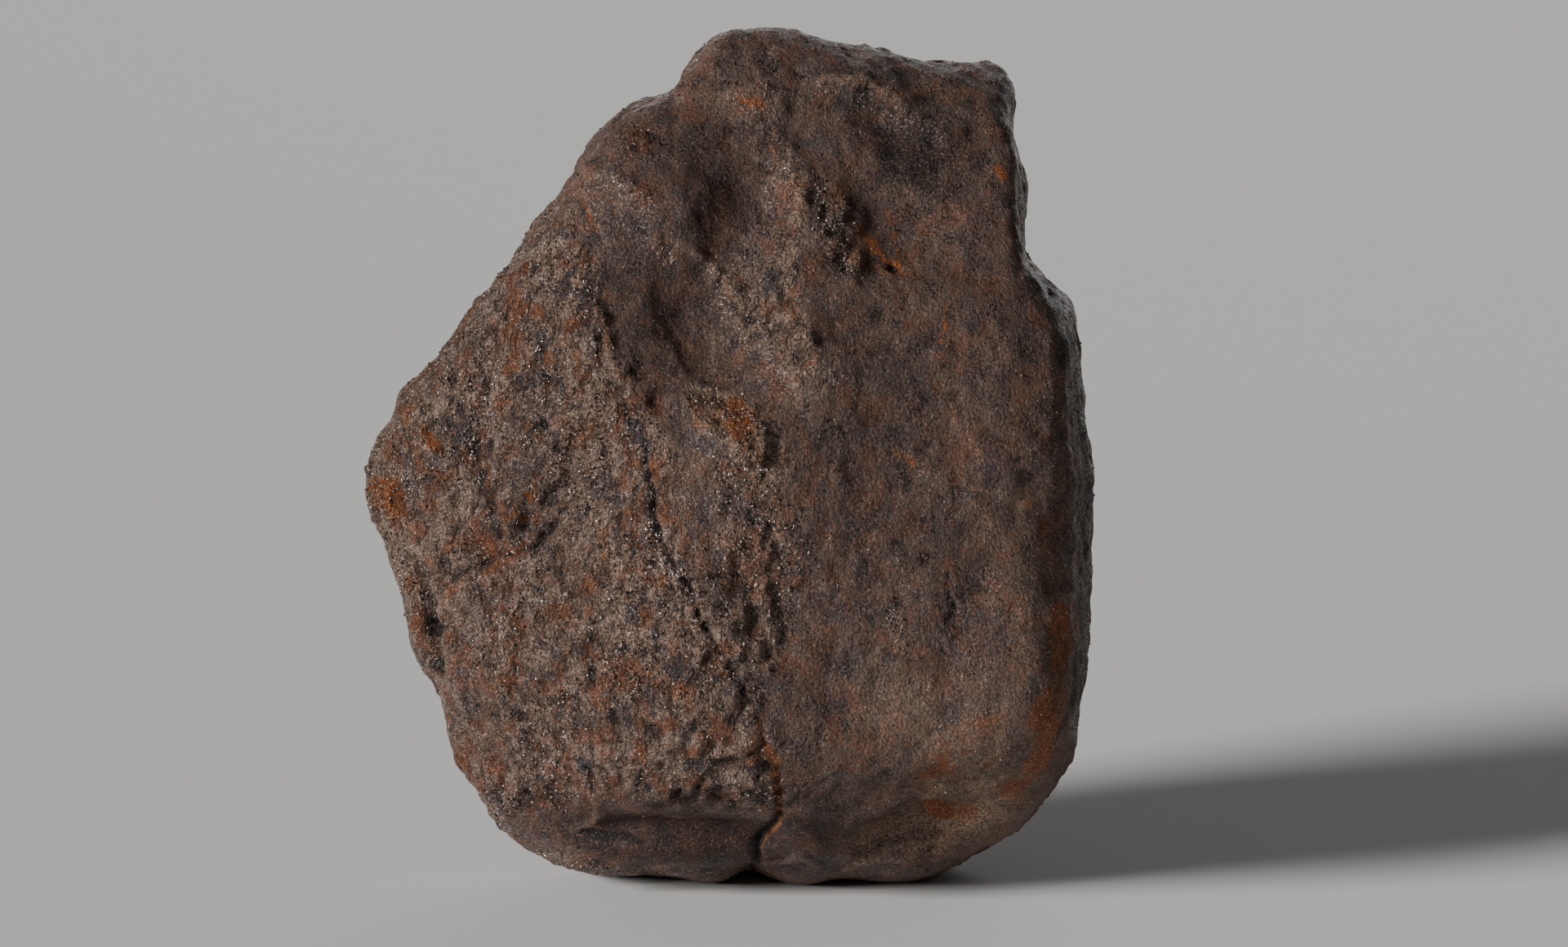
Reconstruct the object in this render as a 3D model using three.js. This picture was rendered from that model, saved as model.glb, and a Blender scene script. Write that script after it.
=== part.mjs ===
// A weathered eucrite meteorite: one solid stone with a dark fusion crust, standing upright on a
// small flat spot. Its broad face, split by a slanting ridge, looks towards -Y. Millimetres, +Z up.
//
// The stone is shaped in its picture frame, whose origin is the stone's middle: X across, Y away
// from the eye and Z up the picture. At the end it is turned upright and set on its foot, with the
// origin on the foot straight under the middle.

import * as THREE from "three";
import { ImprovedNoise } from "three/addons/math/ImprovedNoise.js";
import { mergeVertices } from "three/addons/utils/BufferGeometryUtils.js";

// Driving dimensions
const HALF_WIDTH = 42.5;
const HALF_HEIGHT = 50.2;
const HALF_DEPTH = 28;
const EYE = new THREE.Vector3(6.7, -500, -2); // where the outline below is seen from
const LOOK_DOWN = 8; // degrees that the eye looks down on the upright stone
const EDGE_SOFTNESS = 0.7; // how widely two facets melt into each other
const SIDE_RADII = { front: 56, back: 34 }; // how roundly the sides fall off from their crest
const NICK_ANGLE = 7; // degrees to each side over which the outline's small nicks are smoothed
const NICK_DEPTH = 14; // how far from the crest those nicks have died away
const OUTLINE_STEPS = 1600; // points along the outline
const HALVINGS = 40; // how often a search for the surface is halved
const EDGE_FLANK = 7; // half width of the band along the crest where the crust has no dips
const EDGE_FACING = [0.1, 0.5]; // how far the edge and the broad faces are turned to the eye
const FOOT_DEPTH = 49.1; // from the stone's middle down to the flat spot that it rests on
const FOOT_FADE = 4; // height over which the relief dies away above the foot
const FRONT_BIAS = 0.2; // how much closer together the points lie at the front
const DETAIL = 19; // each edge of the starting icosahedron is cut into one more piece than this

// The stone's edge as the eye sees it, clockwise from the notch at the upper left
const OUTLINE = [
  [-6.4, 42.0], [-5.1, 44.4], [-3.7, 46.9], [-1.6, 48.8], [0.6, 49.8], [4.4, 50.0], [7.5, 50.2],
  [9.6, 49.3], [11.8, 48.9], [15.3, 47.7], [18.6, 47.7], [20.8, 46.6], [24.8, 45.8], [28.6, 46.3],
  [31.9, 46.9], [34.0, 46.0], [34.1, 43.9], [33.2, 41.6], [33.3, 39.7], [32.8, 37.1], [34.2, 34.6],
  [34.8, 32.1], [34.7, 28.3], [34.5, 24.3], [36.3, 21.6], [37.5, 19.6], [39.4, 18.9], [40.3, 17.5],
  [40.9, 13.3], [41.5, 6.8], [42.5, -1.0], [42.5, -9.5], [42.1, -21.9], [41.0, -29.0],
  [40.2, -34.7], [38.8, -37.4], [34.8, -42.4], [31.4, -44.7], [28.1, -46.6], [24.8, -48.8],
  [20.0, -49.8], [13.9, -49.2], [11.2, -49.5], [9.4, -50.2], [5.8, -49.5], [3.7, -48.4],
  [2.1, -47.9], [1.0, -49.2], [-1.8, -49.9], [-4.2, -49.4], [-8.6, -48.7], [-14.2, -48.9],
  [-18.0, -48.2], [-21.8, -46.5], [-24.8, -44.5], [-27.0, -42.7], [-27.6, -41.4], [-30.1, -37.8],
  [-31.5, -35.9], [-32.2, -32.8], [-33.2, -27.8], [-33.8, -25.9], [-35.7, -24.5], [-36.5, -22.1],
  [-37.3, -17.6], [-38.9, -13.1], [-40.6, -8.6], [-42.5, -5.3], [-43.2, -3.1], [-41.9, -0.2],
  [-39.2, 4.2], [-38.4, 6.4], [-35.9, 9.5], [-32.7, 12.3], [-28.4, 18.5], [-25.9, 21.4],
  [-24.4, 23.7], [-21.9, 27.3], [-19.4, 30.5], [-17.9, 32.3], [-17.0, 34.6], [-13.7, 38.7],
  [-9.9, 41.6], [-7.7, 42.1],
];

// Facets of the front: a point [across, up], how far it stands out towards the eye, and how much
// that changes for each millimetre to the right and for each millimetre up
const FRONT_FACETS = [
  { name: "rough left face", at: [-25, -6], out: 17.5, right: 0.48, up: -0.06 },
  { name: "upper left slope", at: [-22, 20], out: 15.5, right: 0.5, up: -0.42 },
  { name: "left corner", at: [-37, -4], out: 8.5, right: 1.15, up: 0.05 },
  { name: "smooth right face", at: [10, -10], out: 26, right: -0.13, up: -0.03 },
  { name: "right shoulder", at: [39.5, -8], out: 20, right: -0.9, up: 0.02 },
  { name: "upper middle", at: [-2, 26], out: 20, right: -0.06, up: -0.5 },
  { name: "upper right", at: [22, 28], out: 15.5, right: -0.2, up: -0.38 },
  { name: "top shelf", at: [14, 44.5], out: 8, right: -0.5, up: -1.7 },
  { name: "top left shoulder", at: [-10, 36], out: 14.4, right: -0.14, up: -0.5 },
  { name: "bottom scoop face", at: [-8, -43], out: 15.5, right: 0.08, up: 1.15 },
  { name: "bottom right face", at: [24, -43], out: 13, right: -0.35, up: 1.0 },
  { name: "lower left slope", at: [-27, -37], out: 10.5, right: 0.62, up: 0.55 },
];

// Facets of the back in the same way, with how far each stands out away from the eye
const BACK_FACETS = [
  { name: "broad back", at: [4, -4], out: 27.5, right: 0.06, up: 0.03 },
  { name: "back left", at: [-24, 2], out: 19, right: 0.62, up: -0.05 },
  { name: "back left edge", at: [-35, -8], out: 9.5, right: 1.3, up: 0.1 },
  { name: "back right", at: [29, 2], out: 20, right: -0.75, up: 0.06 },
  { name: "back upper left", at: [-14, 30], out: 16, right: 0.4, up: -0.6 },
  { name: "back upper right", at: [18, 34], out: 18.5, right: -0.2, up: -0.62 },
  { name: "back top", at: [10, 45], out: 10.5, right: -0.05, up: -1.7 },
  { name: "back lower left", at: [-20, -36], out: 15.5, right: 0.5, up: 0.7 },
  { name: "back lower right", at: [26, -36], out: 17.5, right: -0.45, up: 0.62 },
  { name: "back bottom", at: [4, -44], out: 19.5, right: 0.02, up: 1.35 },
];

// Hollows and dips of the crust. Each follows a line, given by points [across, up, half width,
// depth] as the eye sees them or straight behind them, or [angle, away, half width, depth] around
// the stone's middle. left and right narrow the side on that hand of the line, which is steeper.
const HOLLOWS = [
  {
    name: "middle hollow",
    seen: [
      [-12.6, 29, 6, 1], [-8.6, 25, 10.5, 3], [-3.6, 20.4, 14.5, 4.9], [-1.2, 15.4, 15.5, 5.4],
      [-2.4, 10, 12, 4.2], [-4.4, 5, 5.5, 1.2],
    ],
    left: 0.66,
  },
  {
    name: "upper hollow",
    seen: [[1.4, 37.6, 6, 0.4], [3.6, 33.6, 9, 1.5], [4.4, 29, 10.5, 2.9], [3, 23.6, 7, 1.9]],
    left: 0.4,
  },
  { name: "nose dish", seen: [[9, 41, 3, 0.2], [9.6, 37.4, 3.4, 0.5]] },
  {
    name: "top hollow",
    seen: [[13.4, 41.4, 4.6, 1], [17, 40.6, 6, 2.2], [21.4, 38, 6.4, 1.7], [26, 34.8, 5, 0.5]],
    left: 0.55,
  },
  { name: "shelf dip", seen: [[21, 43.4, 3.5, 0.8], [25.6, 41.8, 4, 1.2]] },
  {
    name: "shoulder groove",
    seen: [[-6.4, 41.6, 3, 1.2], [-1.5, 41.2, 3.2, 1.6], [2, 41, 2.6, 0.6]],
  },
  { name: "upper right dish", seen: [[19, 32, 7, 0.3], [23, 28, 9, 0.8], [28, 25, 7, 0.6]] },
  { name: "ridge foot dip", seen: [[2, 7.4, 4, 0.6], [6.6, 7.2, 4.5, 0.9]] },
  {
    name: "left face dip",
    seen: [[-29.6, 5, 3, 0.4], [-29.2, -0.4, 3.6, 0.8], [-28, -5, 3, 0.5]],
  },
  {
    name: "low left pocket",
    seen: [[-34.4, -17, 2.4, 1.6], [-34.2, -21.4, 3, 3], [-33, -25, 2.4, 1.4]],
  },
  {
    name: "bottom scoop",
    seen: [[-17, -44, 3.6, 2], [-11, -43.8, 4.6, 2.8], [-4, -43.6, 4.8, 2.6], [3, -44, 4, 1.6]],
    left: 0.7,
  },
  {
    name: "bottom right scoop",
    seen: [[16, -45, 3.6, 1.4], [21, -42.8, 4.6, 2.4], [28, -40.6, 4, 1.2]],
    left: 0.75,
  },
  { name: "low left fold", seen: [[-20.6, -37.6, 3, 0.7], [-19.4, -42.6, 3, 1.3]] },
  { name: "right edge dip", seen: [[36, 8, 6, 0.8], [37, 0, 6, 1], [36.5, -10, 6, 0.7]] },
  {
    name: "back thumbprint",
    behind: [[-1, 11, 8, 1.4], [8, 16, 10, 2.8], [17, 22, 8, 1.4]],
    left: 0.75,
  },
  {
    name: "back low thumbprint",
    behind: [[-17, -9, 8, 1.2], [-9, -16, 10, 2.6], [-1, -25, 7, 1.2]],
  },
  {
    name: "back upper dip",
    behind: [[-9, 24, 6, 1], [-12, 31, 8, 2.2], [-13, 37, 5, 1]],
    right: 0.7,
  },
  { name: "back top dip", behind: [[9, 37, 5, 1], [16, 36, 7, 2], [23, 37, 5, 1]] },
  {
    name: "back right dip",
    behind: [[27, -15, 7, 1.2], [29, -5, 8, 2.2], [28, 5, 6, 1]],
    left: 0.8,
  },
  { name: "back middle dip", behind: [[8, -33, 7, 1.2], [16, -30, 8, 2.2], [22, -27, 6, 1]] },
  { name: "back left dip", behind: [[-27, -3, 6, 0.8], [-29, 6, 7, 1.8], [-25, 14, 5, 0.8]] },
  { name: "back foot dip", behind: [[-20, -36, 5, 0.8], [-13, -40, 6, 1.8]] },
  { name: "right flank dip", around: [[-28, 11, 8, 1.2], [-14, 13, 9, 2.4], [2, 12, 7, 1.2]] },
  { name: "right upper flank dip", around: [[38, 13, 7, 1], [48, 11, 8, 1.8]] },
  {
    name: "left upper flank dip",
    around: [[128, 12, 7, 1], [142, 11, 9, 2.4], [158, 8, 8, 1.4]],
  },
  { name: "left lower flank dip", around: [[186, 8, 6, 1.2], [204, 9, 8, 2.2], [218, 8, 6, 1]] },
  { name: "top dip", around: [[74, 9, 6, 1.2], [96, 10, 8, 2.2]] },
];

// Ridges, ledges and lumps of the crust, given in the same way with their height
const RIDGES = [
  {
    name: "main ridge",
    seen: [
      [-19, 28.2, 6, 0.3], [-16.8, 21, 8, 0.6], [-13.8, 13, 8, 0.8], [-9.6, 5.6, 7, 0.8],
      [-5.8, 1.2, 6, 0.3],
    ],
    left: 0.25,
  },
  {
    name: "saddle",
    seen: [
      [-12.6, 31, 5, 0.2], [-7.4, 27.6, 5.6, 0.4], [-2.6, 23.8, 6, 0.6], [1.2, 20, 6.4, 0.6],
      [3, 14.6, 6.6, 0.4],
    ],
  },
  {
    name: "upper spine",
    seen: [
      [8, 36, 5, 0.3], [9, 31.6, 7, 1], [9.4, 27, 8, 1.3], [9.2, 21, 8.5, 1.3],
      [10, 15, 9, 1], [10.8, 9, 8, 0.3],
    ],
    right: 0.65,
  },
  {
    name: "top rim",
    seen: [[10.6, 44, 4, 0.7], [16.2, 44, 4.2, 1.1], [20.6, 41.6, 4, 1], [26.2, 38.4, 4, 0.5]],
    right: 0.8,
  },
  { name: "edge boss", seen: [[-17, 32, 4, 0.8], [-14.6, 35, 4.4, 1]] },
  { name: "top nose", seen: [[2.4, 42.4, 4, 0.8], [5.6, 43.4, 5, 1.3]] },
  {
    name: "right face ledge",
    seen: [[15, 19.4, 5, 0.6], [20, 19.6, 6, 1], [25, 19.4, 6, 0.9], [31, 17, 5, 0.4]],
    left: 0.5,
  },
  { name: "middle knob", seen: [[-1, 3.4, 4, 0.6], [2, 2, 4.4, 0.9]] },
  {
    name: "plate brow",
    seen: [
      [-34, -12, 4.4, 0.5], [-28.6, -8, 5, 0.7], [-24, -6, 5.4, 0.8], [-20.6, -3, 4, 0.4],
    ],
    right: 0.55,
  },
  { name: "low left bulge", seen: [[-37.4, -11, 5, 0.9], [-36.4, -15, 4.6, 0.9]] },
  { name: "left middle swell", seen: [[-21, -22, 11, 1], [-15, -29, 10, 1]] },
  {
    name: "crack shoulder",
    seen: [
      [-7.4, -4, 6, 0.3], [-5.8, -12, 7, 0.6], [-3, -18.4, 7, 0.6], [1, -25, 7, 0.5],
      [5, -33, 6, 0.3],
    ],
  },
  {
    name: "scoop lip",
    seen: [
      [-23, -37.8, 4, 0.5], [-14.2, -39, 4.4, 0.9], [-6, -38.4, 4.6, 1], [2, -39, 4.4, 0.8],
      [6, -40, 4, 0.5],
    ],
    right: 0.55,
  },
  { name: "bottom middle swell", seen: [[8.8, -42.4, 4.6, 1], [11, -46, 4, 0.8]] },
  { name: "right low swell", seen: [[27, -20, 12, 0.8], [26, -30, 12, 0.9]] },
  { name: "back swell", behind: [[-16, 4, 11, 1.2], [-8, 12, 10, 1]] },
  { name: "back low swell", behind: [[14, -14, 9, 1.2], [24, -20, 9, 1]] },
  { name: "back spine", behind: [[2, 34, 6, 1], [0, 24, 6, 1.2], [-6, 14, 6, 0.6]] },
  { name: "right flank fold", around: [[20, 4, 5, 0.8], [17, 12, 6, 1.2], [12, 20, 5, 0.8]] },
  { name: "left flank fold", around: [[172, 4, 5, 0.6], [175, 11, 6, 1.2], [170, 18, 5, 0.8]] },
];

// Waviness of the whole crust: wavelength and height of each layer
const WAVES = [
  { length: 19, height: 1 },
  { length: 9, height: 0.55 },
  { length: 4.6, height: 0.26 },
];

const CRUST = new THREE.MeshStandardMaterial({ color: 0x4a3a31, roughness: 0.62, metalness: 0 });

const noise = new ImprovedNoise();

// Closely spaced points along the outline, sorted by angle: how far each lies from the middle, how
// far it would lie with the small nicks smoothed away, and how far back its crest is, midway
// between the front and the back
const outlineRays = traceOutline(OUTLINE_STEPS);

function traceOutline(steps) {
  const points = OUTLINE.map(([across, up]) => new THREE.Vector3(across, up, 0));
  const curve = new THREE.CatmullRomCurve3(points, true, "centripetal");
  const rays = curve
    .getPoints(steps)
    .map(({ x, y }) => ({
      angle: Math.atan2(y, x),
      distance: Math.hypot(x, y),
      crest: (thickness(BACK_FACETS, x, y) - thickness(FRONT_FACETS, x, y)) / 2,
    }))
    .sort((a, b) => a.angle - b.angle);
  return rays.map((ray) => ({ ...ray, broad: broadDistance(rays, ray.angle) }));
}

// The mean distance of the rays around an angle
function broadDistance(rays, angle) {
  const turnBetween = (a, b) => Math.abs(Math.atan2(Math.sin(a - b), Math.cos(a - b)));
  const window = THREE.MathUtils.degToRad(NICK_ANGLE);
  const near = rays.filter((ray) => turnBetween(ray.angle, angle) < window);
  return near.reduce((sum, ray) => sum + ray.distance, 0) / near.length;
}

// How far the facets of one side stand out at a place of the picture frame
function thickness(facets, across, up) {
  return Math.min(...facets.map((facet) => standing(facet, across, up)));
}

function standing({ at, out, right, up: rise }, across, up) {
  return out + right * (across - at[0]) + rise * (up - at[1]);
}

// The outline in the direction of an angle
function outlineAt(angle) {
  let low = 0;
  let high = outlineRays.length - 1;
  if (angle <= outlineRays[low].angle || angle >= outlineRays[high].angle) return outlineRays[low];
  while (high - low > 1) {
    const middle = (low + high) >> 1;
    if (outlineRays[middle].angle > angle) high = middle;
    else low = middle;
  }
  const a = outlineRays[low];
  const b = outlineRays[high];
  const share = (angle - a.angle) / Math.max(b.angle - a.angle, 1e-9);
  const between = (key) => THREE.MathUtils.lerp(a[key], b[key], share);
  return { distance: between("distance"), broad: between("broad"), crest: between("crest") };
}

// The outline where the line from the eye through a point meets the plane of the picture frame
function outlineBeside(point) {
  const spread = EYE.y / (EYE.y - point.y);
  const across = EYE.x + (point.x - EYE.x) * spread;
  const up = EYE.z + (point.z - EYE.z) * spread;
  return { ...outlineAt(Math.atan2(up, across)), from: Math.hypot(across, up), spread };
}

// How far a point lies outside the outline. In front of and behind the crest its small nicks fade
// away and its sides round off.
function outsideOutline(point) {
  const { distance, broad, crest, from, spread } = outlineBeside(point);
  const aside = Math.abs(point.y - crest);
  const radius = point.y < crest ? SIDE_RADII.front : SIDE_RADII.back;
  const fading = THREE.MathUtils.smoothstep(aside, 0.3 * NICK_DEPTH, NICK_DEPTH);
  const narrowing = aside ** 2 / (2 * radius);
  return (from - THREE.MathUtils.lerp(distance, broad, fading) + narrowing) / spread;
}

// How far a point lies outside a facet. side is -1 for the front and 1 for the back.
function outsideFacet(point, facet, side) {
  const surface = standing(facet, point.x, point.z);
  return (side * point.y - surface) / Math.hypot(1, facet.right, facet.up);
}

// How far a point lies outside the stone before its relief, with edges melted into each other
function outsideForm(point) {
  const distances = [
    outsideOutline(point),
    ...FRONT_FACETS.map((facet) => outsideFacet(point, facet, -1)),
    ...BACK_FACETS.map((facet) => outsideFacet(point, facet, 1)),
  ];
  const most = Math.max(...distances);
  const sum = distances.reduce((total, d) => total + Math.exp((d - most) / EDGE_SOFTNESS), 0);
  return most + EDGE_SOFTNESS * Math.log(sum);
}

// Where a straight line leaves the stone. outside says how far a point lies outside.
function surfaceAlong(start, direction, reach, outside) {
  let low = 0;
  let high = reach;
  const point = new THREE.Vector3();
  for (let step = 0; step < HALVINGS; step += 1) {
    const middle = (low + high) / 2;
    point.copy(direction).multiplyScalar(middle).add(start);
    if (outside(point) > 0) high = middle;
    else low = middle;
  }
  return point;
}

// The form's outward direction at a point
function formNormal(point) {
  const step = 0.2;
  const slope = (axis) => {
    const ahead = point.clone();
    const behind = point.clone();
    ahead[axis] += step;
    behind[axis] -= step;
    return outsideForm(ahead) - outsideForm(behind);
  };
  return new THREE.Vector3(slope("x"), slope("y"), slope("z")).normalize();
}

// The point of the form that the eye sees at [across, up]
function seenPoint([across, up]) {
  const start = new THREE.Vector3(across, 0, up);
  const towardsEye = EYE.clone().sub(start).normalize();
  return surfaceAlong(start, towardsEye, 2 * HALF_DEPTH, outsideForm);
}

// The point of the form straight behind [across, up]
function pointBehind([across, up]) {
  const start = new THREE.Vector3(across, 0, up);
  return surfaceAlong(start, new THREE.Vector3(0, 1, 0), 2 * HALF_DEPTH, outsideForm);
}

// The point of the form in the direction of an angle from the middle of the slice that lies away
// by so much
function pointAround([angle, away]) {
  const radians = THREE.MathUtils.degToRad(angle);
  const direction = new THREE.Vector3(Math.cos(radians), 0, Math.sin(radians));
  return surfaceAlong(new THREE.Vector3(0, away, 0), direction, 2 * HALF_HEIGHT, outsideForm);
}

// The straight pieces of a stroke, each with the width and height at both ends and with the
// direction, along the crust, that lies on the left hand of its line
function strokePieces(stroke) {
  const finders = { seen: seenPoint, behind: pointBehind, around: pointAround };
  const kind = Object.keys(finders).find((name) => name in stroke);
  const places = stroke[kind].map(([first, second, reach, height]) => ({
    point: finders[kind]([first, second]),
    reach,
    height,
  }));
  return places.slice(1).map((end, i) => {
    const start = places[i];
    const along = end.point.clone().sub(start.point);
    const left = formNormal(start.point).cross(along).normalize();
    return { start, end, left, line: new THREE.Line3(start.point, end.point) };
  });
}

// A smooth hump: 1 in the middle, 0 at a distance of 1 and beyond
function hump(distance) {
  const rest = Math.max(0, 1 - distance * distance);
  return rest * rest;
}

// How much a stroke raises or sinks a point
function strokeHeight(point, { pieces, left = 1, right = 1 }) {
  const { lerp } = THREE.MathUtils;
  let closest = 1;
  let height = 0;
  for (const piece of pieces) {
    const share = piece.line.closestPointToPointParameter(point, true);
    const offset = piece.line.at(share, new THREE.Vector3()).sub(point).negate();
    const lean = offset.dot(piece.left) / Math.max(offset.length(), 1e-6);
    const side = lerp(right, left, (1 + lean) / 2);
    const distance = offset.length() / (lerp(piece.start.reach, piece.end.reach, share) * side);
    if (distance < closest) {
      closest = distance;
      height = lerp(piece.start.height, piece.end.height, share);
    }
  }
  return height * hump(closest);
}

function waveHeight(point) {
  return WAVES.reduce(
    (total, { length, height }) =>
      total + height * noise.noise(point.x / length, point.y / length, point.z / length),
    0,
  );
}

const withPieces = (stroke) => ({ ...stroke, pieces: strokePieces(stroke) });
const hollows = HOLLOWS.map(withPieces);
const ridges = RIDGES.map(withPieces);

// How far the crust stands out from the form at a point. Along the edge that the eye sees, the
// outline already has the crust in it, so nothing stands out there and only the flanks dip.
function relief(point, normal) {
  const total = (strokes) => strokes.reduce((sum, stroke) => sum + strokeHeight(point, stroke), 0);
  const height = waveHeight(point) + total(ridges) - total(hollows);
  const edge = 1 - THREE.MathUtils.smoothstep(Math.abs(normal.y), ...EDGE_FACING);
  const nearCrest = hump((point.y - outlineBeside(point).crest) / EDGE_FLANK);
  return height * (1 - edge * (height > 0 ? 1 : nearCrest));
}

// Turns the picture frame upright
const upright = new THREE.Matrix4().makeRotationX(-THREE.MathUtils.degToRad(LOOK_DOWN));

// Height of a picture-frame point above the foot, once the stone stands upright
function heightAboveFoot(point) {
  return point.clone().applyMatrix4(upright).z + FOOT_DEPTH;
}

function outsideStandingForm(point) {
  return Math.max(outsideForm(point), -heightAboveFoot(point));
}

// The direction of a point of the stone, from a point of a ball. The points lie evenly on the
// stone, but closer together towards the front, where the crust has its finer forms.
function spreadDirection(ballPoint) {
  const evenness = 2 / 3;
  const stretch = new THREE.Vector3(HALF_WIDTH, HALF_DEPTH, HALF_HEIGHT);
  stretch.set(stretch.x ** evenness, stretch.y ** evenness, stretch.z ** evenness);
  const forward = new THREE.Vector3(0, -FRONT_BIAS, 0);
  return ballPoint.clone().add(forward).multiply(stretch).normalize();
}

// A point of the crust in a direction from the stone's middle, upright and on its foot
function crustPoint(direction) {
  const middle = new THREE.Vector3();
  const point = surfaceAlong(middle, direction, 2 * HALF_HEIGHT, outsideStandingForm);
  const onFoot = heightAboveFoot(point) < 1e-3;
  if (!onFoot) {
    const fade = THREE.MathUtils.smoothstep(heightAboveFoot(point), 0, FOOT_FADE);
    const normal = formNormal(point);
    point.addScaledVector(normal, relief(point, normal) * fade);
  }
  point.applyMatrix4(upright);
  point.z = onFoot ? -FOOT_DEPTH : Math.max(point.z, -FOOT_DEPTH);
  return point;
}

function makeStone() {
  const ball = new THREE.IcosahedronGeometry(1, DETAIL);
  ball.deleteAttribute("normal");
  ball.deleteAttribute("uv");
  const geometry = mergeVertices(ball, 1e-5);
  const position = geometry.getAttribute("position");
  const vertex = new THREE.Vector3();
  for (let i = 0; i < position.count; i += 1) {
    const point = crustPoint(spreadDirection(vertex.fromBufferAttribute(position, i)));
    position.setXYZ(i, point.x, point.y, point.z);
  }
  geometry.translate(0, 0, FOOT_DEPTH);
  geometry.computeVertexNormals();
  const stone = new THREE.Mesh(geometry, CRUST);
  stone.name = "stone";
  return stone;
}

const meteorite = new THREE.Group();
meteorite.add(makeStone());

export default meteorite;
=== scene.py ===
"""A weathered eucrite meteorite: one stone with a dark crust, platy and glinting on its left face,
smooth and fine-grained on its right one, rusty along its cracks and edges.

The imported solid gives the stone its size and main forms. Here its surface is made finer, the
cracks, ledges, pits and plates are pressed into it, mineral grains are set into it, and the crust
gets its colours and gloss.

Places on the stone are given in its picture frame, in millimetres from the stone's middle: across
to the right and up, as the eye sees them. Blender's own units here are metres.
"""

import logging
import math
from dataclasses import dataclass, field
from enum import Enum
from typing import Any

import bmesh
import bpy
import numpy as np
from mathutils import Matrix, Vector, noise


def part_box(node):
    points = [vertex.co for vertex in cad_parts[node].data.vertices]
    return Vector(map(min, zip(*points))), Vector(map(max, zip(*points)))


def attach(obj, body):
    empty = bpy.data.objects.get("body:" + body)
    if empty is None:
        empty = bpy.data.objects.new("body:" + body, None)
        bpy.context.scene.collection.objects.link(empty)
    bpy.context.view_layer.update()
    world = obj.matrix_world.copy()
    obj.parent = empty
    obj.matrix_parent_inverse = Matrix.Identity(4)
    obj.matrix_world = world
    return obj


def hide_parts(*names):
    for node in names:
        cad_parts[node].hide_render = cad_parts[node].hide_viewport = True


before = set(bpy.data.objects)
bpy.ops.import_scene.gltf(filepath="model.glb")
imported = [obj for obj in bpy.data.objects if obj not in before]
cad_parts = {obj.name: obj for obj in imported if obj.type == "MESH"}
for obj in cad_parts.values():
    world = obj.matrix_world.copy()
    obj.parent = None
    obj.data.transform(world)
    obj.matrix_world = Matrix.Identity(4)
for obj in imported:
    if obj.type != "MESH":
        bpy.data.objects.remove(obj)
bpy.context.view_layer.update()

Array = np.ndarray
Band = tuple[float, float]
Colour = tuple[float, float, float]
Point = tuple[float, float, float]
Socket = bpy.types.NodeSocket

MILLIMETRE = 0.001
MERGE_DISTANCE = MILLIMETRE / 1000
STONE_NODE = "stone"
BODY = "root"

TINY = 1e-6

# The crust's masks that tint it, dark mostly as painted shade and tan in places as painted light, and
# those that change its texture, and the grains' own mask
TINTS = ("rust", "tan", "dark", "blue")
TEXTURES = ("rough", "grain")
TONE = "tone"

log = logging.getLogger("meteorite")


@dataclass(frozen=True)
class PictureFrame:
    """The frame in which places on the stone are given: X across, Y away from the eye, Z up.

    Its middle is the stone's, and lengths are in millimetres.
    """

    eye_across: float = 6.7
    eye_distance: float = 500.0
    eye_up: float = -2.0
    look_down: float = math.radians(8)
    middle_height: float = 49.1
    width: float = 182.4

    def to_world(self, points: Array) -> Array:
        """Turns picture-frame points into upright ones.

        Args:
            points: Rows of x, y, z in millimetres.

        Returns:
            Rows of x, y, z in metres.
        """
        x, y, z = points.T
        sine, cosine = math.sin(self.look_down), math.cos(self.look_down)
        turned = np.stack([x, y * cosine + z * sine, z * cosine - y * sine], axis=1)
        turned[:, 2] += self.middle_height
        return turned * MILLIMETRE

    def from_world(self, points: Array) -> Array:
        """Turns upright points into picture-frame ones.

        Args:
            points: Rows of x, y, z in metres.

        Returns:
            Rows of x, y, z in millimetres.
        """
        x, y, z = (points / MILLIMETRE).T
        z = z - self.middle_height
        return np.stack([x, *self.level(y, z)], axis=1)

    def level(self, y: Array, z: Array) -> tuple[Array, Array]:
        """Turns the y and z parts of upright directions into picture-frame ones.

        Args:
            y: The parts along Y.
            z: The parts along Z.

        Returns:
            The two parts in the picture frame.
        """
        sine, cosine = math.sin(self.look_down), math.cos(self.look_down)
        return y * cosine - z * sine, y * sine + z * cosine

    def seen(self, points: Array) -> tuple[Array, Array]:
        """Says where the eye sees points of the picture frame.

        Args:
            points: Rows of x, y, z in millimetres.

        Returns:
            How far across and how far up each is seen, in millimetres.
        """
        spread = self.eye_distance / (self.eye_distance + points[:, 1])
        across = self.eye_across + (points[:, 0] - self.eye_across) * spread
        up = self.eye_up + (points[:, 2] - self.eye_up) * spread
        return across, up


PICTURE = PictureFrame()

# How much of a flat mark's half width its sloping rim takes up
FLAT_RIM = 0.35


class Profile(Enum):
    """The section of a mark, from its line out to its half width.

    A soft one is round, a sharp one has straight flanks, and a flat one falls off near its rim.
    """

    SOFT = "soft"
    SHARP = "sharp"
    FLAT = "flat"

    def height(self, distance: Array) -> Array:
        """Gives the section's height.

        Args:
            distance: How far out, as a share of the half width.

        Returns:
            1 on the line, falling to 0 at the half width and beyond.
        """
        inside = np.clip(1 - distance, 0, 1)
        if self is Profile.SHARP:
            return inside
        if self is Profile.FLAT:
            return smooth(inside, 0, FLAT_RIM)
        return (1 - np.clip(distance, 0, 1) ** 2) ** 2


class Side(Enum):
    """The side of the stone that a mark lies on. One at the back lies straight behind its points."""

    FRONT = "front"
    BACK = "back"


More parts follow.
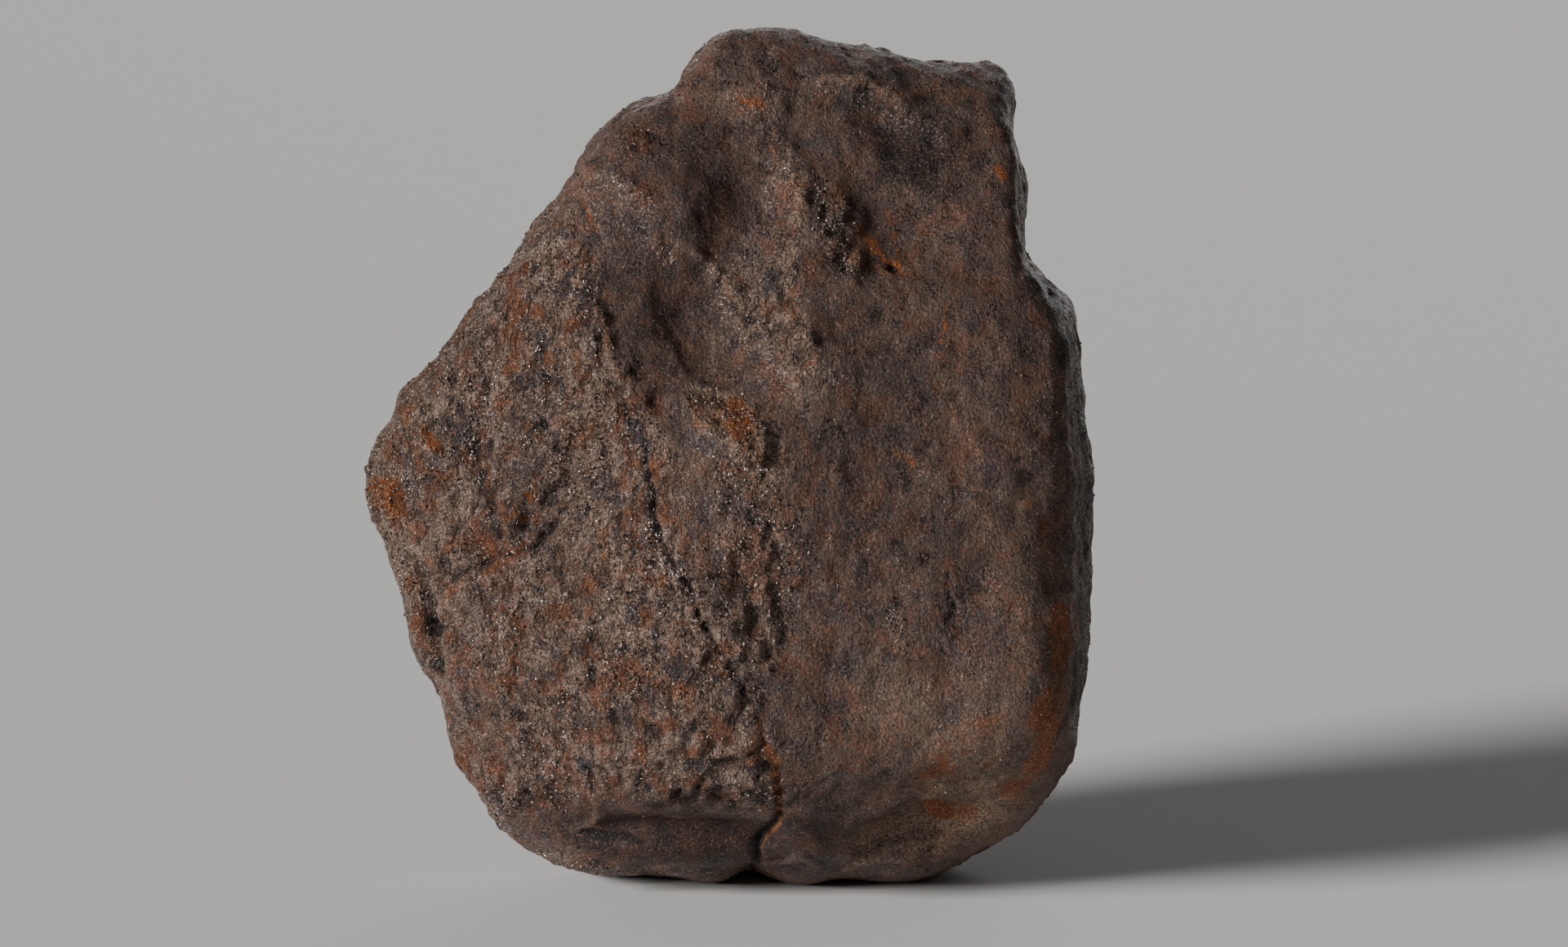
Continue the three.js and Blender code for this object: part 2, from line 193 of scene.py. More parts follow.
def smooth(value: Array, low: float, high: float) -> Array:
    """Eases a value from 0 to 1.

    Args:
        value: The values.
        low: Where the result is still 0.
        high: Where the result has become 1.

    Returns:
        The eased values.
    """
    share = np.clip((value - low) / (high - low), 0, 1)
    return share * share * (3 - 2 * share)


@dataclass(frozen=True)
class Mark:
    """A crack, ledge, pit, vein or patch of the crust.

    Its line has points across, up and half width. Where it is narrower it is also weaker. left and
    right narrow the side on that hand of the line, which makes it steeper. lift raises the crust in
    millimetres. dark darkens it, mostly as painted shade in cracks, pits, hollows and sides turned
    away from the key light, and tan makes it paler, in places as painted light on lit patches,
    edges and faces. The other values tint it or change its texture.
    """

    name: str
    line: tuple[Point, ...]
    lift: float = 0.0
    rust: float = 0.0
    tan: float = 0.0
    dark: float = 0.0
    blue: float = 0.0
    rough: float = 0.0
    grain: float = 0.0
    left: float = 1.0
    right: float = 1.0
    profile: Profile = Profile.SOFT
    side: Side = Side.FRONT

    def strength(self, across: Array, up: Array) -> Array:
        """Says how strongly the mark shows in places.

        Args:
            across: How far across each place is seen.
            up: How far up each place is seen.

        Returns:
            1 on the mark's line where it is widest, and 0 outside it.
        """
        widest = max(width for _, _, width in self.line)
        nearest = np.full(across.shape, 1.0)
        weight = np.zeros(across.shape)
        for (ax, ay, wide_a), (bx, by, wide_b) in zip(self.line, self.line[1:]):
            dx, dy = bx - ax, by - ay
            length = math.hypot(dx, dy)
            share = np.clip(((across - ax) * dx + (up - ay) * dy) / length**2, 0, 1)
            off_x, off_y = across - ax - share * dx, up - ay - share * dy
            away = np.maximum(np.hypot(off_x, off_y), TINY)
            lean = (dx * off_y - dy * off_x) / (length * away)
            width = wide_a + share * (wide_b - wide_a)
            distance = away / (width * (self.right + (self.left - self.right) * (1 + lean) / 2))
            closer = distance < nearest
            nearest = np.where(closer, distance, nearest)
            weight = np.where(closer, width / widest, weight)
        return self.profile.height(nearest) * weight


# Where the platy left face meets the rest of the front, from top to bottom
FACE_DIVIDE = (
    (-21.5, 33), (-18.9, 28.3), (-16.5, 20.9), (-13.7, 12.8), (-8.5, 4.2), (-6.5, -2), (-6, -9),
    (-4, -14), (-1, -20), (1.5, -26.2), (4, -33), (5.5, -40),
)

# The dark values in these cracks and the ledge are painted shade
RIDGE_MARKS = (
    Mark("ridge brow", ((-19, 28.3, 1.2), (-16.4, 20.9, 2.4), (-13.4, 12.8, 2.8), (-8.5, 4.2, 2.4),
                        (-5.6, 1.4, 1)), lift=0.25, right=0.6, left=0.3),
    Mark("upper crack", ((-9.8, 1.6, 0.5), (-9.4, -1.9, 0.8), (-8.9, -5.3, 0.9), (-8.5, -7.6, 0.8),
                         (-8.0, -9.5, 0.6)), lift=-1.4, dark=1.4, profile=Profile.SHARP),
    Mark("upper crack edge", ((-8.9, -1.9, 0.5), (-8.3, -5.3, 0.6), (-7.9, -7.6, 0.5)), tan=0.8,
         lift=0.25),
    Mark("crack", ((-8.0, -9.5, 0.4), (-6.6, -11.4, 0.45), (-5.1, -14.3, 0.5), (-3.2, -18.1, 0.45),
                   (-0.9, -22.8, 0.5), (1.5, -26.2, 0.4), (3.6, -31, 0.3)),
         lift=-0.5, dark=0.75, rust=0.5),
    Mark("rusty seam", ((3.6, -31, 0.3), (5.3, -35.2, 0.55), (6.1, -38.5, 0.6), (6.3, -41.8, 0.5)),
         lift=-0.35, rust=1.6, profile=Profile.FLAT),
    Mark("foot crack", ((6.3, -41.8, 0.5), (5.3, -42.8, 0.7), (3.9, -44.2, 0.8), (3.4, -46.6, 0.8),
                        (3.2, -48.4, 0.6)), lift=-0.9, dark=1, profile=Profile.SHARP),
    Mark("foot crack edge", ((6.2, -42.6, 0.5), (4.6, -44.4, 0.6), (4.1, -46.6, 0.5)), rust=1.2),
    Mark("crack ledge", ((-5.1, -14.3, 0.7), (-1.5, -13.9, 0.9), (3.6, -13.4, 0.6)), lift=-0.5,
         dark=0.6, left=0.6),
)

# Painted shade: the dark of the dark smooth crust, the hollow pocket and the saddle pit. Painted
# light: the tan of the saddle crest, the saddle light patch and the middle light zone, on walls turned
# to the key light
HOLLOW_MARKS = (
    Mark("dark smooth crust", ((-12, 33, 6), (-4, 28, 12), (-2, 16, 11), (-2, 9, 6)), dark=0.3,
         rough=-0.1, profile=Profile.FLAT),
    Mark("upper hollow floor", ((2.4, 35, 3), (3.8, 31, 4), (3.6, 26.4, 4)), lift=0.7),
    Mark("hollow pocket", ((-8.0, 11.4, 2), (-6.6, 8.4, 2.6), (-5.1, 6.5, 1.6)), dark=0.4),
    Mark("orange crack", ((-17, 30.8, 0.3), (-16.5, 29.4, 0.5), (-15.3, 27, 0.5),
                          (-14, 24.2, 0.3)), lift=-0.3, rust=1.3),
    Mark("hollow vein", ((-6.6, 16.1, 0.25), (-5.1, 13.7, 0.35), (-3.7, 12.3, 0.25)), tan=1.4),
    Mark("hollow side vein", ((-1.8, 15.2, 0.25), (-1.3, 10.4, 0.35), (-2.3, 8, 0.25)), tan=1.4,
         rust=0.4),
    Mark("saddle pit", ((-10.6, 27.3, 1), (-9.2, 26.1, 0.9)), lift=-0.15, dark=0.5),
    Mark("saddle patch", ((-8.5, 25.6, 1.2), (-6.1, 22.8, 1.6)), tan=0.5, rough=0.4),
    Mark("saddle crest", ((-5.6, 24.7, 0.8), (-2.8, 22.8, 1.2), (0.1, 19.9, 1.3), (1.5, 16.6, 1.2),
                          (2, 13.7, 0.7)), lift=0.35, right=0.4, tan=0.9),
    Mark("saddle light patch", ((-1.8, 22.4, 1.6), (0.6, 19, 2.4), (1.6, 15.8, 1.4)), tan=0.9,
         rough=0.5),
    Mark("middle light zone", ((0.6, 19, 2), (5, 16, 4.5), (9, 14, 4)), tan=0.5, rough=0.5),
    Mark("upper hollow edge", ((-4.2, 28.5, 0.7), (-2.3, 24.7, 0.9), (0.1, 22.3, 0.9),
                               (1, 20.8, 0.6)), lift=0.1, left=0.6),
    Mark("shoulder glints", ((-12.3, 32.2, 1.2), (-9.4, 30.4, 1.4)), rough=0.5, grain=1),
    Mark("shoulder streak", ((-14.8, 29, 0.3), (-14.5, 27.6, 0.4)), tan=1.2),
)

# Painted light: the tan of the spine's upper and lower patches, crisp edge and glint, on its flank lit
# by the key light. Painted shade: the dark of the spine shade and the spine dark spot
SPINE_MARKS = (
    Mark("spine path", ((5.3, 46, 2), (4.4, 38.9, 3), (7.7, 30.8, 4), (4.8, 21.8, 6),
                        (5.8, 15.2, 6), (10.5, 9.5, 4)), rough=0.5),
    Mark("spine upper patch", ((7.2, 33.4, 1), (8.4, 30.4, 1.7), (8.2, 27.6, 1.2)), tan=2,
         lift=0.35, rough=0.4, right=0.6),
    Mark("spine crisp edge", ((8.2, 31.3, 0.4), (9.6, 28.3, 0.6), (9.4, 26.4, 0.4)), tan=0.6,
         lift=0.3),
    Mark("spine lower patch", ((6, 25, 1), (7.2, 22.4, 2), (6.2, 19.4, 1.2)), tan=1.4,
         rough=0.6),
    Mark("spine streaks", ((7.9, 15.6, 0.4), (8.6, 13.4, 0.5), (9.4, 11.8, 0.4)), tan=1),
    Mark("spine foot", ((9.6, 17, 2), (11.4, 14.4, 2.4)), rough=-0.5),
    Mark("spine vein", ((9.1, 11.4, 0.3), (9.9, 9.8, 0.4), (10.5, 8.5, 0.3)), tan=1),
    Mark("spine shade", ((10.5, 32.7, 1.2), (12.4, 27, 2.2), (12.4, 22, 1.6)), dark=0.5, lift=-0.1,
         grain=0.5),
    Mark("spine glint", ((11, 22.9, 0.25), (14.8, 22.3, 0.3)), tan=1.3, lift=0.2),
    Mark("spine dark spot", ((11.5, 17.1, 0.9), (12, 16.6, 0.8)), dark=0.6),
    Mark("central rusty spot", ((-2.6, 6.4, 3), (1.6, 3.4, 4), (4, 0, 3)), rust=0.4, tan=0.6,
         rough=0.5, grain=0.5),
    Mark("central tan ground", ((-3, 6.4, 2.6), (2, 3, 4), (5.4, -1, 3)), tan=1.1, rust=0.3,
         rough=0.4, profile=Profile.FLAT),
    Mark("central tan streak", ((1.5, 5.2, 0.5), (2.2, 2, 0.6)), tan=1),
    Mark("central dark spots", ((4, 4.1, 0.8), (5.2, 2.9, 0.9)), dark=0.5),
    Mark("central orange line", ((-4.4, 6.6, 0.3), (-3.6, 3.8, 0.4)), rust=1.2),
    Mark("granular zone", ((0.6, -1, 4), (4, -10, 7), (3.6, -20, 6.6), (2, -25, 4)), rough=0.4,
         grain=1),
    Mark("upper granular zone", ((10.5, 32, 2), (13, 26, 3.4), (14, 22, 2.4)), rough=0.4,
         grain=0.6),
)

# Painted shade: the dark of the shoulder, the top shelf and the top hollow's wall; the shoulder's rust
# is the crust's own. Painted light: the tan of the shelf band and the top rim edge
TOP_MARKS = (
    Mark("shoulder boss", ((-16.6, 34.1, 1.3), (-15, 32.8, 1.4)), tan=0.7, lift=0.4, rough=0.4),
    Mark("shoulder rust and painted shade", ((-13, 39, 3), (-10, 36.6, 4), (-7.8, 36, 3)), rust=0.45, dark=0.6,
         rough=0.3),
    Mark("violet spot", ((-10.6, 37.1, 0.9), (-9.8, 36.6, 0.8)), blue=1),
    Mark("shelf band", ((-5.6, 42, 0.8), (-1.5, 41.8, 1.1), (2.8, 42.4, 0.8)), tan=0.5, lift=0.3),
    Mark("nose rust", ((1.6, 41.6, 1), (4.2, 41, 1.3)), rust=0.8),
    Mark("nose rings", ((4.9, 44.6, 0.6), (6.6, 46, 0.8), (8.4, 44.2, 0.6)), dark=0.4, rust=0.2,
         lift=-0.2),
    Mark("nose dish", ((8.2, 41.6, 1.4), (9.6, 38, 1.8), (11, 36.4, 1.2)), tan=0.35),
    Mark("top shelf painted shade", ((10, 46.4, 1.6), (18, 45.6, 2.4), (27, 44.6, 2.4)), dark=0.3),
    Mark("top hollow floor", ((16, 40, 3), (20.6, 37, 5.4), (24.6, 34, 5.4), (27, 31, 3)),
         lift=0.4, dark=0.8, profile=Profile.FLAT),
    Mark("top rim edge", ((10.8, 43.2, 0.6), (12, 43.7, 0.8), (16.2, 43.4, 0.9), (19.1, 41.6, 0.9),
                          (21.9, 39.4, 0.9), (25.7, 37.2, 0.5)), lift=0.8, right=0.4, tan=0.9),
    Mark("shelf dark spots", ((9.1, 46, 0.6), (9.3, 45.8, 0.5)), dark=0.6),
    Mark("rim dark spots", ((21.9, 41.8, 0.6), (23.8, 41.3, 0.7), (24.8, 42.7, 0.5)), dark=0.4),
    Mark("corner block rust", ((28.6, 43.4, 2.2), (31, 40, 2.8), (31.6, 37, 2)), rust=0.35,
         dark=0.15),
    Mark("corner rusty oval", ((31.6, 33.8, 0.9), (32.2, 32.6, 0.9)), rust=0.8),
    Mark("corner pit", ((30.4, 34.8, 0.7), (30.6, 34.4, 0.6)), dark=0.6, lift=-0.2),
    Mark("corner white oval", ((28, 33.8, 0.3), (28.2, 32.7, 0.3)), tan=1.4),
    Mark("rim white oval", ((22.3, 33.8, 0.25), (22.5, 33.6, 0.25)), tan=1.4),
    Mark("red patch", ((15.4, 26.6, 0.9), (17.4, 24.4, 1.4)), rust=1.1),
    Mark("red lower patch", ((17.4, 24, 1), (19.8, 21.5, 1.4)), rust=1),
    Mark("red patch hole", ((19.1, 21.6, 0.7), (19.5, 21.4, 0.6)), dark=1.2, lift=-0.6),
    Mark("orange curve", ((18.6, 28.9, 0.3), (19.8, 25.4, 0.45), (20, 21.8, 0.3)), rust=1),
    Mark("orange ledge line", ((19.1, 21.3, 0.35), (21.6, 20.8, 0.45), (23.8, 21.3, 0.3)), rust=1.1,
         lift=-0.2),
    Mark("orange side streak", ((25.7, 18.5, 0.4), (25.3, 15.2, 0.5), (24.8, 12.3, 0.35)),
         rust=1.1),
)

# Painted shade: the dark of the far right band and the right face shade. Painted light: the tan of the
# right low and right edge marks, on faces turned away from the key light; their rust is the crust's
# own
RIGHT_MARKS = (
    Mark("far right band", ((40.4, 14, 2), (42, 4, 2.4), (42.4, -12, 2.4), (41.4, -28, 2.4)),
         dark=1, rust=0.25),
    Mark("right face shade", ((16, 8, 8), (20, -3, 10), (22, -14, 9)), dark=0.2,
         profile=Profile.FLAT),
    Mark("right low painted light and rust", ((18, -27, 5), (27, -37, 9), (31, -41, 10)), tan=1.2, rust=0.35),
    Mark("right low fullness", ((35, -12, 6), (35, -22, 9), (34, -32, 10), (30, -40, 8)),
         lift=1.5),
    Mark("right edge painted light and rust", ((33, -6, 4), (35, -18, 6), (33, -30, 6)), tan=0.3, rust=0.15),
    Mark("edge stains", ((34.6, -3.8, 2), (38.4, -12, 3), (38.6, -22, 3), (37, -32, 3),
                         (33, -38, 2)), rust=0.6, tan=0.3),
    Mark("edge upper stain", ((33.5, 13, 1.2), (36, 8, 2), (36.2, 0, 2)), rust=0.45, tan=0.2),
    Mark("right vein", ((25.1, 8.9, 0.25), (27.2, 2.6, 0.3), (27.4, -3.7, 0.35), (31, -4.2, 0.35),
                        (34.4, -6, 0.4), (36.8, -4.6, 0.35)), tan=1.2, rust=0.4),
    Mark("right short cracks", ((25.7, -13.6, 0.3), (26.2, -17.6, 0.45), (25, -19.8, 0.4),
                                (25.4, -23, 0.25)), lift=-0.35, dark=1),
    Mark("right orange dot", ((25.5, -14.9, 0.5), (25.8, -15.2, 0.5)), rust=1, tan=0.4),
    Mark("nose texture", ((0, 45, 5), (8, 44, 6), (16, 42, 6), (26, 40, 6)), rough=0.05),
    Mark("right middle stain", ((19.4, 0.6, 1), (21.6, -0.6, 1.3), (21.4, -2, 0.8)), rust=0.7,
         tan=0.2),
    Mark("right grey patch", ((30.6, -1.6, 2.4), (33, -2.4, 2)), blue=0.5),
    Mark("right low glints", ((19.6, -17, 1.4), (20.2, -21.6, 1.6)), grain=1, rough=0.3),
    Mark("right upper glints", ((12.4, 9, 1.6), (14.6, 12, 1.6)), grain=0.6),
    Mark("right low stain", ((30, -31, 2), (35, -29, 3), (36.6, -36, 2.4)), rust=0.3),
)

# Painted sheen: the tan of the sheen streaks and the left face sheen, where the left face glints in
# the key light. The left corner is made paler. The dark in the crease, the plate edges, the pits, the
# slit and the low left pocket is painted shade
LEFT_MARKS = (
    Mark("painted sheen streaks", ((-31, 10.4, 0.7), (-30.4, 8, 1.1), (-29.8, 5.2, 0.7)), tan=2.5,
         lift=0.5),
    Mark("left corner paler", ((-37, 5, 5), (-39.6, -3, 5), (-34, -13, 6)), tan=0.5,
         profile=Profile.FLAT),
    Mark("left face sheen", ((-21, 0, 4), (-17.4, -9, 7), (-17, -20, 8), (-19, -30, 6)), tan=0.35,
         profile=Profile.FLAT),
    Mark("left orange patch", ((-35.4, 3, 1.2), (-33.6, 1, 1.5), (-32.6, 0, 1)), rust=1.1),
    Mark("left blue patch", ((-34.6, -0.6, 1.2), (-33.6, -3.4, 1.5)), blue=1),
    Mark("left dark band", ((-29.4, 5.4, 1), (-29.2, 0, 1.7), (-28.2, -5.4, 1.2)), dark=0.4,
         lift=-0.4),
    Mark("left corner rust", ((-42, -2.6, 1.4), (-40, -3.6, 2.6), (-37.4, -6.6, 2.4)), rust=0.75,
         tan=0.5),
    Mark("plate swell", ((-23.6, 1, 3), (-23.4, -4, 4.2), (-24, -8.6, 3)), lift=0.6),
    Mark("plate tint", ((-23.8, 1.4, 3), (-23.4, -4, 4.4), (-24, -7.6, 3)), blue=0.3, dark=0.15),
    Mark("plate left edge", ((-27.4, 2, 0.5), (-27.6, -2, 0.8), (-27.2, -6, 0.9),
                             (-26.5, -10.6, 0.7)), lift=-0.35, dark=0.35),
    Mark("plate lower edge", ((-26.5, -10.8, 0.6), (-25.6, -11.4, 0.9), (-21.8, -10.2, 0.9),
                              (-20.3, -8.1, 0.8), (-18.9, -5.8, 0.5)), lift=-0.6, dark=0.4,
         left=0.5),
    Mark("left crease", ((-32.7, -16.2, 0.7), (-31.3, -13.3, 1), (-28.4, -12.4, 1.1),
                         (-26.4, -11.4, 0.8)), lift=-0.6, dark=0.4, rust=0.3, left=0.5),
    Mark("orange dot", ((-22.9, -4.4, 0.9), (-22.3, -4.6, 0.8)), rust=1),
    Mark("orange lower dot", ((-23.4, -7.2, 0.7), (-22.9, -7.3, 0.6)), rust=0.9),
    Mark("orange left dots", ((-32.2, -7.7, 0.5), (-32, -7.5, 0.5)), rust=1.2),
    Mark("orange low dots", ((-27.5, -11.3, 0.6), (-27.3, -11.5, 0.5)), rust=1.3),
    Mark("dark oval pits", ((-21.3, 3.8, 0.9), (-20.9, 3.4, 0.7)), dark=0.7, lift=-0.3),
    Mark("dark lower pit", ((-19.9, 0.9, 0.8), (-19.6, 0.6, 0.7)), dark=0.9, lift=-0.5),
    Mark("dark slit", ((-16.1, -23.8, 0.4), (-16, -26.2, 0.5)), dark=1, lift=-0.5),
    Mark("low left pocket", ((-35, -16.2, 1), (-34, -20, 1.9), (-33.2, -25, 1.2)), dark=0.8,
         lift=-0.6),
    Mark("striated area", ((-29, -18, 3), (-29, -26, 4.6), (-27, -34, 3.4)), rough=-0.4, dark=0.1),
    Mark("lower left stain", ((-31, -33, 1.6), (-28.6, -38.6, 1.8)), rust=0.5),
)

# Painted shade: the dark of the scoop, the top of the scoop, the scoop lip shade and the undercut.
# Painted light: the tan of the scoop light band, the undercut crest, the light fold, the under lips
# and the bottom right
BOTTOM_MARKS = (
    Mark("scoop smoothness", ((-23, -43.4, 4), (-12, -44, 6.4), (2, -44.6, 6.4), (12, -45.6, 4)),
         rough=-1.3, dark=0.45),
    Mark("scoop lip shade", ((-13.2, -39.6, 0.6), (-8, -40, 0.9), (0, -39.6, 0.9),
                             (4.8, -40.2, 0.6)), dark=0.15, left=0.5),
    Mark("top of the scoop", ((-22, -39.6, 1.6), (-10, -39.4, 2.2), (2, -39.4, 2.2), (14, -40, 2)),
         dark=0.25),
    Mark("scoop light band", ((-2.8, -41.2, 0.8), (1, -41.8, 1.1), (4.8, -42, 0.7)), tan=0.5),
    Mark("undercut", ((-16.5, -43.2, 0.8), (-13, -44.2, 1.5), (-9.6, -45, 0.9)), lift=-0.5,
         dark=0.5, left=0.6),
    Mark("undercut crest", ((-18, -43.3, 0.4), (-16, -42.6, 0.6), (-14.6, -41.8, 0.4)), lift=0.5,
         tan=1),
    Mark("light fold", ((-15, -37, 0.7), (-14.8, -39.6, 0.9), (-15.4, -42, 0.6)), lift=0.4,
         tan=0.7),
    Mark("fold rust", ((-17.8, -43.7, 0.6), (-16.2, -44.4, 0.6)), rust=1),
    Mark("right scoop smoothness", ((15, -44.8, 2), (22, -42.4, 3), (30, -41.8, 2.4)), rough=-0.1,
         lift=-0.4, profile=Profile.FLAT),
    Mark("bottom right painted light", ((14, -46, 2.6), (22, -43.4, 3.4), (30, -41, 3)), tan=1.3, rust=0.1),
    Mark("right scoop rust", ((23.6, -40.6, 1.1), (25.6, -41.4, 1)), rust=0.9, tan=0.3),
    Mark("under lip", ((4, -47.2, 0.5), (6.6, -46.8, 0.8), (8.8, -46.4, 0.8), (11.4, -48, 0.5)),
         lift=0.5, tan=0.6, left=0.4),
    Mark("right under lip", ((12.6, -48.6, 0.4), (15, -46.9, 0.7), (20, -46.6, 0.8),
                             (25, -46, 0.6)), lift=0.5, tan=0.5, left=0.4),
)

BACK_MARKS = (
    Mark("back crack", ((12, 30, 0.5), (9, 20, 0.9), (11, 8, 0.9), (6, -4, 0.8), (7, -14, 0.5)),
         lift=-0.7, dark=0.9, rust=0.2, side=Side.BACK, profile=Profile.SHARP),
    Mark("back side crack", ((-24, 12, 0.5), (-18, 6, 0.8), (-10, 4, 0.7), (-4, 0, 0.5)),
         lift=-0.5, dark=0.8, side=Side.BACK, profile=Profile.SHARP),
    Mark("back rust", ((20, 26, 3), (24, 16, 4), (22, 6, 3)), rust=0.5, side=Side.BACK),
    Mark("back low rust", ((-14, -20, 3), (-20, -28, 3.4)), rust=0.5, side=Side.BACK),
    Mark("back smooth face", ((4, -10, 9), (10, 2, 12), (4, 14, 9)), rough=-0.3, side=Side.BACK),
    Mark("back dust", ((-10, 22, 4), (-4, 30, 5), (6, 36, 4)), tan=0.3, side=Side.BACK),
)

MARKS = (
    *RIDGE_MARKS, *HOLLOW_MARKS, *SPINE_MARKS, *TOP_MARKS, *RIGHT_MARKS, *LEFT_MARKS,
    *BOTTOM_MARKS, *BACK_MARKS,
)


@dataclass(frozen=True)
class Waves:
    """A layer of smooth noise: its wavelength in millimetres, its place in the noise, its height."""

    size: float
    shift: float
    height: float = 1.0

    def at(self, points: Array) -> Array:
        """Gives the noise at points, before it is made as high as the layer.

        Args:
            points: Rows of x, y, z in millimetres.

        Returns:
            Values between about -0.6 and 0.6.
        """
        return np.array([noise.noise(Vector(p)) for p in points / self.size + self.shift])


@dataclass(frozen=True)
class Patches:
    """Patches with soft edges, where noise rises through a band of values."""

    waves: Waves
    band: Band

    def at(self, points: Array) -> Array:
        """Gives 1 inside the patches and 0 outside."""
        return smooth(self.waves.at(points), *self.band)


@dataclass(frozen=True)
class Plates:
    """Small tilted plates with gaps between them."""

    size: float
    tilt: float
    gap_depth: float
    gap_width: float = 0.16
    shuffle: float = 3.7

    def heights(self, points: Array) -> tuple[Array, Array]:
        """Gives the plates' relief.

        Args:
            points: Rows of x, y, z in millimetres.

        Returns:
            Heights in millimetres, and how far each point lies in a gap, from 0 to 1.
        """
        level = Vector((0.5, 0.5, 0.5))
        tilts = np.empty(len(points))
        gaps = np.empty(len(points))
        for i, place in enumerate(points / self.size):
            distances, centres = noise.voronoi(Vector(place))
            lean = noise.cell_vector(centres[0] * self.shuffle) - level
            tilts[i] = lean.dot(Vector(place) - centres[0])
            gaps[i] = distances[1] - distances[0]
        gaps = 1 - smooth(gaps, 0, self.gap_width)
        return self.tilt * tilts - self.gap_depth * gaps, gaps


def add_object(name: str, data: bpy.types.ID) -> bpy.types.Object:
    """Puts a new object into the scene.

    Args:
        name: The object's name.
        data: Its mesh, light or camera.

    Returns:
        The object.
    """
    new = bpy.data.objects.new(name, data)
    bpy.context.scene.collection.objects.link(new)
    return new


@dataclass
class Crust:
    """The stone's surface, finer than the solid's and with all of its marks.

    Lengths are in millimetres. The masks say, for each point, how much of each tint and texture it
    has, and the materials read them. The dark mask is mostly painted shade, and the tan mask is in
    places painted light.
    """

    levels: int = 2
    facing: Band = (0.02, 0.3)
    warp: float = 0.5
    warp_across: Waves = Waves(3.2, 31.0)
    warp_up: Waves = Waves(3.2, 57.0)
    smooth_texture: float = 0.34
    rough_texture: float = 1.0
    back_texture: float = 0.6
    least_texture: float = 0.08
    divide_blend: Band = (-3.0, 2.0)
    strongest_tint: float = 2.5
    lumps: tuple[Waves, ...] = (Waves(7.0, 0.0, 0.55), Waves(3.4, 11.0, 0.4))
    smooth_lumps: float = 0.15
    granular_calm: float = 0.6
    streaks: tuple[Waves, ...] = (Waves(2.1, 19.0, 0.34), Waves(1.2, 26.0, 0.27))
    streak_power: float = 1.3
    streak_edge: float = 4.0
    streak_lean: float = math.radians(15)
    streak_stretch: float = 1.5
    plates: Plates = Plates(3.2, 0.55, 0.12)
    plate_power: float = 1.5
    plate_wander: float = 3.2
    plate_bend: float = 0.8
    gap_patches: Patches = Patches(Waves(4.1, 71.0), (-0.05, 0.2))
    gap_painted_shade: float = 0.3
    shallow_pit: float = 0.25
    rough_pit: float = 0.2
    crevice_lines: Waves = Waves(5.5, 43.0)
    crevice_patches: Patches = Patches(Waves(6.3, 83.0), (-0.05, 0.15))
    crevice_wander: float = 1.6
    crevice_bend: float = 0.4
    crevice_width: float = 0.05
    crevice_depth: float = 0.45
    crevice_painted_shade: float = 0.5
    grain_patches: Patches = Patches(Waves(9.0, 91.0), (-0.15, 0.15))
    grain_threshold: float = 0.1
    grain_fade: Band = (1.0, 3.0)
    foot_fade: Band = (0.05, 3.0)
    foot_rim: float = 0.15
    cavity_rounds: int = 8
    cavity_depth: float = 0.2
    masks: dict[str, Array] = field(default_factory=dict)

    def build(self) -> bpy.types.Object:
        """Makes the crust's mesh, shapes it and keeps its masks as attributes.

        Returns:
            The crust's object.
        """
        mesh = self.fine_mesh()
        corners = np.empty(len(mesh.vertices) * 3)
        normals = np.empty(len(mesh.vertices) * 3)
        mesh.vertices.foreach_get("co", corners)
        mesh.vertices.foreach_get("normal", normals)
        corners, normals = corners.reshape(-1, 3), normals.reshape(-1, 3)
        height = self.relief(corners, normals)
        moved = self.keep_in_box(corners + normals * height[:, None] * MILLIMETRE, corners)
        mesh.vertices.foreach_set("co", moved.ravel())
        self.masks["cavity"] = self.cavity(mesh, height)
        for name, values in self.masks.items():
            attribute = mesh.attributes.new(name, "FLOAT", "POINT")
            attribute.data.foreach_set("value", values.astype(np.float32))
        mesh.update()
        return add_object("crust", mesh)

    def fine_mesh(self) -> bpy.types.Mesh:
        """Copies the solid's mesh, merges its loose triangles and rounds it into small faces.

        Returns:
            The new mesh.
        """
        mesh = bpy.data.objects[STONE_NODE].data.copy()
        mesh.materials.clear()
        work = bmesh.new()
        work.from_mesh(mesh)
        bmesh.ops.remove_doubles(work, verts=work.verts, dist=MERGE_DISTANCE)
        work.to_mesh(mesh)
        work.free()
        mesh.shade_smooth()
        copy = add_object("crust rounding", mesh)
        rounding = copy.modifiers.new("rounding", "SUBSURF")
        rounding.levels = rounding.render_levels = self.levels
        depsgraph = bpy.context.evaluated_depsgraph_get()
        fine = bpy.data.meshes.new_from_object(copy.evaluated_get(depsgraph))
        fine.name = "crust"
        bpy.data.objects.remove(copy)
        return fine

    def relief(self, corners: Array, normals: Array) -> Array:
        """Works out how far each point moves along its normal, and fills the masks.

        Args:
            corners: The points, in metres.
            normals: Their normals.

        Returns:
            Heights in millimetres.
        """
        points = PICTURE.from_world(corners)
        above_foot = corners[:, 2] / MILLIMETRE
        away, _ = PICTURE.level(normals[:, 1], normals[:, 2])
        height = self.press_marks(points, away)
        rough = np.clip(self.masks["rough"], self.least_texture, 1)
        uneven, gaps = self.weathering(points, rough)
        deepest = self.shallow_pit + self.rough_pit * rough
        pits = -deepest * np.tanh(-uneven / deepest)
        height += np.where(uneven < 0, pits, uneven)
        crevices = self.crevices(points) * rough
        height -= self.crevice_depth * crevices
